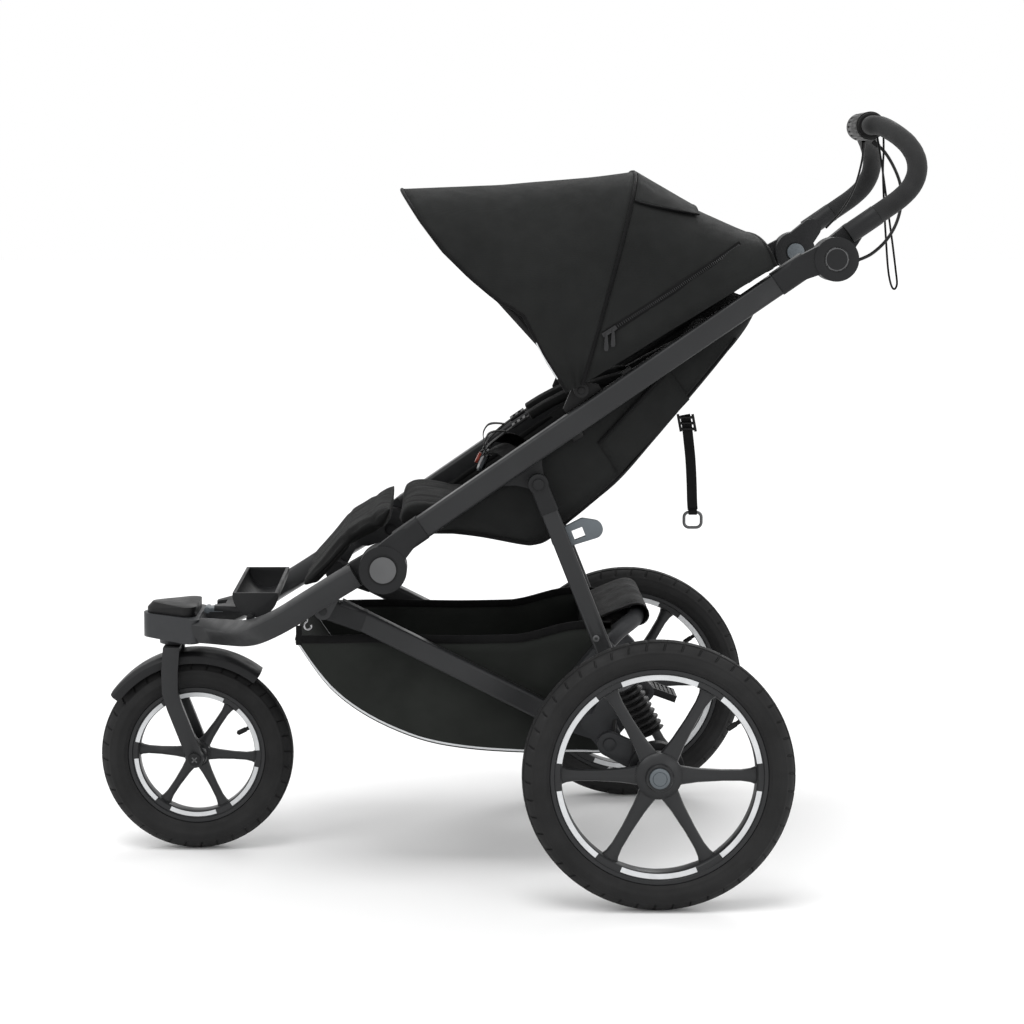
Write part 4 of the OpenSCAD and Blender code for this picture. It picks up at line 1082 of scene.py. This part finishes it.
def make_basket():
    """Sagging fabric tub hung between the lower rails, with bound rims and a piped seam."""
    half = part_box("basket")[1].y / MM - 1.5
    rim = 367.0
    grid, piping = [], {"left": [], "right": []}
    outline = basket_outline()
    for x, z in outline:
        along_floor = min(1.0, max(0.0, (x + 530) / 60)) * min(1.0, max(0.0, (-66 - x) / 50))
        top = rim_height(x, rim)
        wall = max(top - z, 1.0)
        r = min(7.0, wall * 0.8)
        section = []
        for k in range(9):
            w = top - (wall - r) * k / 8
            lean = 3.5 * math.sin(math.pi * k / 8) * along_floor
            section.append((-half + lean + 2.0 * soft_noise((x, 0, w), 0.018, 31.0) * (k > 0), w))
        for k in range(1, 8):
            a = math.radians(90 * k / 7)
            section.append((-half + r - r * math.cos(a), z + r - r * math.sin(a)))
        for k in range(1, 10):
            y = (-half + r) * (1 - k / 9)
            sag = (-4.0 * along_floor * (1 - (y / half) ** 2)
                   + 2.2 * soft_noise((x, y, 0), 0.015, 44.0))
            section.append((y, z + sag * (0.3 + 0.7 * along_floor)))
        row = [ground(x, w, y) for y, w in section]
        row += [Vector((p.x, -p.y, p.z)) for p in reversed(row[:-1])]
        grid.append(row)
        for side, sign in SIDES.items():
            seam = section[10]
            piping[side].append(ground(x, seam[1], sign * (abs(seam[0]) + 0.6)))
    tub = cloth_piece("basket_tub", grid, "basket_fabric", 0.0026, ["basket"])
    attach(tub, "chassis")
    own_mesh(tub)
    for side, sign in SIDES.items():
        cord = Shape().sweep(piping[side][2:-6], circle(0.0019, 8)).piece(
            f"basket_piping_{side}", None, "chassis", material=finish["reflective"])
        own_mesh(cord)
        edge = [row[0] if sign < 0 else row[-1] for row in grid]
        hem = Shape().sweep(edge, slab(0.0056, 0.013, 0.0025, 2), ACROSS).piece(
            f"basket_rim_{side}", None, "chassis", material=finish["binding"])
        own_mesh(hem)
        stay = Shape()
        spot = ground(-536, 372, sign * (half + 2))
        stay.sweep([spot + Vector((0, 0, 0.016)), spot - Vector((0, 0, 0.014))],
                   slab(0.009, 0.003, 0.001, 2), ALONG)
        stay.piece(f"basket_front_strap_{side}", "webbing", "chassis")
        hook = Shape()
        curl = [ground(-523 + a, 391 + b, sign * (half + 3)) for a, b in
                ((0, 9), (0, 4), (-4, 0), (-4, -6), (1, -9), (6, -6), (6, -2))]
        hook.sweep(smooth_path(curl, 4), circle(0.0014, 8))
        hook.piece(f"basket_hook_{side}", "steel", "chassis")
    # sleeve of the back wall, which is wrapped over the cross tube
    profile = [(-93, 384), (-72, 395), (-45, 406), (-22, 414.5), (-8, 413), (0.5, 404), (0.5, 393),
               (-9, 384), (-30, 380), (-60, 377), (-88, 372)]
    wrap = smooth_path([Vector((x, 0, z)) for x, z in profile], 3)
    rows = []
    for k in range(25):
        y = -118 + 236 * k / 24
        rows.append([ground(p.x, p.z + 1.2 * soft_noise((p.x, y, p.z), 0.03, 61.0), y)
                     for p in wrap])
    sleeve = cloth_piece("basket_tube_sleeve", rows, "basket_fabric", 0.0022)
    sleeve.data.materials[0] = finish["binding"]
    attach(sleeve, "chassis")


def rim_height(x, rim):
    rise = min(1.0, max(0.0, (x + 210) / 110))
    return rim + 22 * rise * rise * (3 - 2 * rise) + 0.8 * math.sin(x / 37)


# ---- Suspension boots, grip and cables ----
def make_boots():
    """Ribbed rubber boots over the springs, with a grey collar at the top of each."""
    for side, sign in SIDES.items():
        y = sign * abs(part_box("spring_boots")[1].y - 0.021)
        top, low = ground(-50, 330), ground(3, 234)
        axis = (low - top).normalized()
        across = Vector((axis.z, 0, -axis.x))
        length = (low - top).length
        start = Vector((top.x, y, top.z))
        shape = Shape()
        rings = []
        count, ribs, sides = 97, 8, 40
        first, last = 0.018, length - 0.014
        for k in range(count):
            d = first + (last - first) * k / (count - 1)
            wave = 0.5 + 0.5 * math.cos(2 * math.pi * ribs * k / (count - 1))
            r = 0.0155 + 0.0050 * wave ** 0.7
            if k in (0, count - 1):
                r = 0.0150
            rings.append(ring(start + axis * d, r, across, ACROSS, sides))
        shape.loft(rings)
        replaces = ["spring_boots"] if side == "left" else []
        boot = shape.piece(f"spring_boot_{side}", "boot_rubber", None, replaces, angle=50)
        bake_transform(boot)
        profile = [(0.004, 0.013), (0.005, 0.0165), (0.017, 0.0178), (0.019, 0.0165),
                   (0.019, 0.013)]
        Shape().loft([ring(start + axis * d, r, across, ACROSS, sides) for d, r in profile]).piece(
            f"spring_collar_{side}", "cap_grey", "chassis", angle=35)


def brake_lines():
    """Cable housings that leave the knob, loop round behind the grip and enter the left hinge."""
    runs = {"brake_cable": ([(86, -38, 177), (101, -44, 163), (112, -64, 140), (117, -96, 112),
                             (113, -128, 84), (101, -156, 54), (82, -178, 28), (58, -192, 8),
                             (36, -198, -2)], 0.0025),
            "release_cable": ([(84, 38, 178), (85, 52, 152), (82, 84, 116), (76, 118, 88),
                               (64, 150, 62), (48, 172, 40)], 0.0018)}
    for index, (name, (points, r)) in enumerate(runs.items()):
        path = smooth_path([grip(x, y, z) for x, y, z in points], 10)
        shape = Shape().sweep(path, circle(r, 12))
        obj = shape.piece(name, "cable", None, ["brake_cables"] if index == 0 else [])
        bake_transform(obj)
        ferrule = Shape()
        step = (path[1] - path[0]).normalized()
        ferrule.sweep([path[0] - 0.001 * step, path[0] + 0.009 * step, path[0] + 0.012 * step],
                      circle(r + 0.0016, 16), scale=[1.0, 1.0, 0.7])
        ferrule.piece(f"{name}_ferrule", "black_plastic", "handlebar")


def drum_lines():
    """Cables from the rear castings to the hub brakes, with their bright adjusters."""
    for side, sign in SIDES.items():
        run = [(-58, 262, 0.235), (-60, 246, 0.240), (-58, 224, 0.245), (-50, 206, 0.248),
               (-38, 196, 0.249)]
        path = smooth_path([Vector((AXLE_X + x * MM, sign * yy, z * MM)) for x, z, yy in run], 8)
        radius = 0.0024
        cable = Shape().sweep(path, circle(radius, 12)).piece(f"drum_cable_{side}", "cable")
        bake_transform(cable)
        fittings = Shape()
        step = (path[-1] - path[-2]).normalized()
        end = path[-1]
        for d, size, r in ((0.000, 0.006, 0.0040), (0.009, 0.004, 0.0052), (0.015, 0.009, 0.0032)):
            sides = 6 if r > 0.005 else 16
            fittings.sweep([end + step * d, end + step * (d + size)], circle(r, sides))
        fittings.piece(f"drum_adjuster_{side}", "steel", f"swing_arm_{side}")


def knob_rings():
    """Collars where the ribbed brake knob meets the foam on both sides."""
    low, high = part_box("brake_knob")
    c = (low + high) / 2
    for side, sign in SIDES.items():
        y = low.y if sign < 0 else high.y
        profile = [(0.010, -0.006), (0.0190, -0.006), (0.0205, -0.004), (0.0205, 0.0),
                   (0.0190, 0.0015), (0.010, 0.0015)]
        Shape().loft([ring(Vector((c.x, y + sign * (d + 0.004), c.z)), r, BACK, UP, 48)
                      for r, d in profile]).piece(
            f"knob_collar_{side}", "black_plastic", "handlebar", angle=35)


# ---- Small hardware ----
def screw(name, centre, sign, r, body, slot="steel"):
    """Button-head screw with a hexagonal socket, its head turned to one side of the stroller."""
    profile = [(r, 0.0), (r * 0.98, 0.35 * r), (r * 0.8, 0.55 * r), (r * 0.5, 0.62 * r)]
    rings = [ring(centre + sign * d * ACROSS, q, BACK, UP, 36) for q, d in profile]
    for depth in (0.62, 0.2):
        socket = []
        for k in range(36):
            t = 2 * math.pi * k / 36
            # how far a hexagon's side lies from its middle at this angle, against its flats
            q = 0.45 * r / math.cos(math.pi / 3 * (k / 6 % 1) - math.pi / 6)
            socket.append(centre + Vector((q * math.cos(t), sign * depth * r, q * math.sin(t))))
        rings.append(socket)
    return Shape().loft(rings).piece(name, slot, body, angle=30)


def hinge_rings():
    """Dark rings round the caps of the fold and handlebar hinges, and covers for the second."""
    for name, centre, radius, body in (("fold", FOLD, 0.0215, "upper_frame"),
                                       ("handle", HANDLE, 0.0175, "handlebar")):
        for side, sign in SIDES.items():
            y = outer_face(centre, sign)
            shape = Shape()
            rings = []
            for k in range(73):
                t = 2 * math.pi * k / 72
                rings.append([Vector((centre.x + (radius + a) * math.cos(t), y + sign * b,
                                      centre.z + (radius + a) * math.sin(t)))
                              for a, b in ((-0.0011, -0.0016), (0.0011, -0.0016), (0.0009, 0.0005),
                                           (-0.0009, 0.0005))])
            shape.loft(rings, closed=False)
            shape.piece(f"{name}_hinge_ring_{side}", "black_plastic", body, angle=30)
            if name == "handle":
                profile = [(0.0158, -0.002), (0.0158, 0.0004), (0.0150, 0.0009), (0.004, 0.0012)]
                Shape().loft([ring(Vector((centre.x, y + sign * d, centre.z)), q, BACK, UP, 72)
                              for q, d in profile]).piece(
                    f"handle_cap_cover_{side}", "dark_plastic", body, angle=30)


def outer_face(centre, sign):
    """Y of the outermost imported surface on one side beside a hinge's centre."""
    best = 0.0
    for node in ("front_hinge_shells", "upper_hinge_shells", "handle_hinge_shells", "handle_arms",
                 "hinge_caps"):
        found = bpy.data.objects.get(node)
        if found is None:
            continue
        tree = BVHTree.FromObject(found, bpy.context.evaluated_depsgraph_get())
        start = found.matrix_world.inverted() @ Vector((centre.x + 0.0205, sign * 0.6, centre.z))
        aim = found.matrix_world.inverted().to_3x3() @ Vector((0, -sign, 0))
        hit = tree.ray_cast(start, aim)[0]
        if hit is not None:
            best = max(best, abs((found.matrix_world @ hit).y))
    return sign * (best or 0.24)


def make_hardware():
    for side, sign in SIDES.items():
        casting_y, leg_y = (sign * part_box(node)[1].y for node in ("rear_castings", "rear_legs"))
        screw(f"rear_casting_rivet_{side}", ground(-68, 196, casting_y / MM), sign, 0.0055,
              "chassis")
        screw(f"leg_rivet_{side}", ground(-86, 382, leg_y / MM), sign, 0.005, "rear_legs",
              "cap_grey")


finish = make_materials()
make_camera()
make_stage()
dress_nodes()
recline_strap()
wrist_strap()
make_wheels()
make_canopy()
make_sling()
make_pads()
make_harness()
make_buckle()
make_basket()
make_boots()
brake_lines()
drum_lines()
knob_rings()
hinge_rings()
make_hardware()
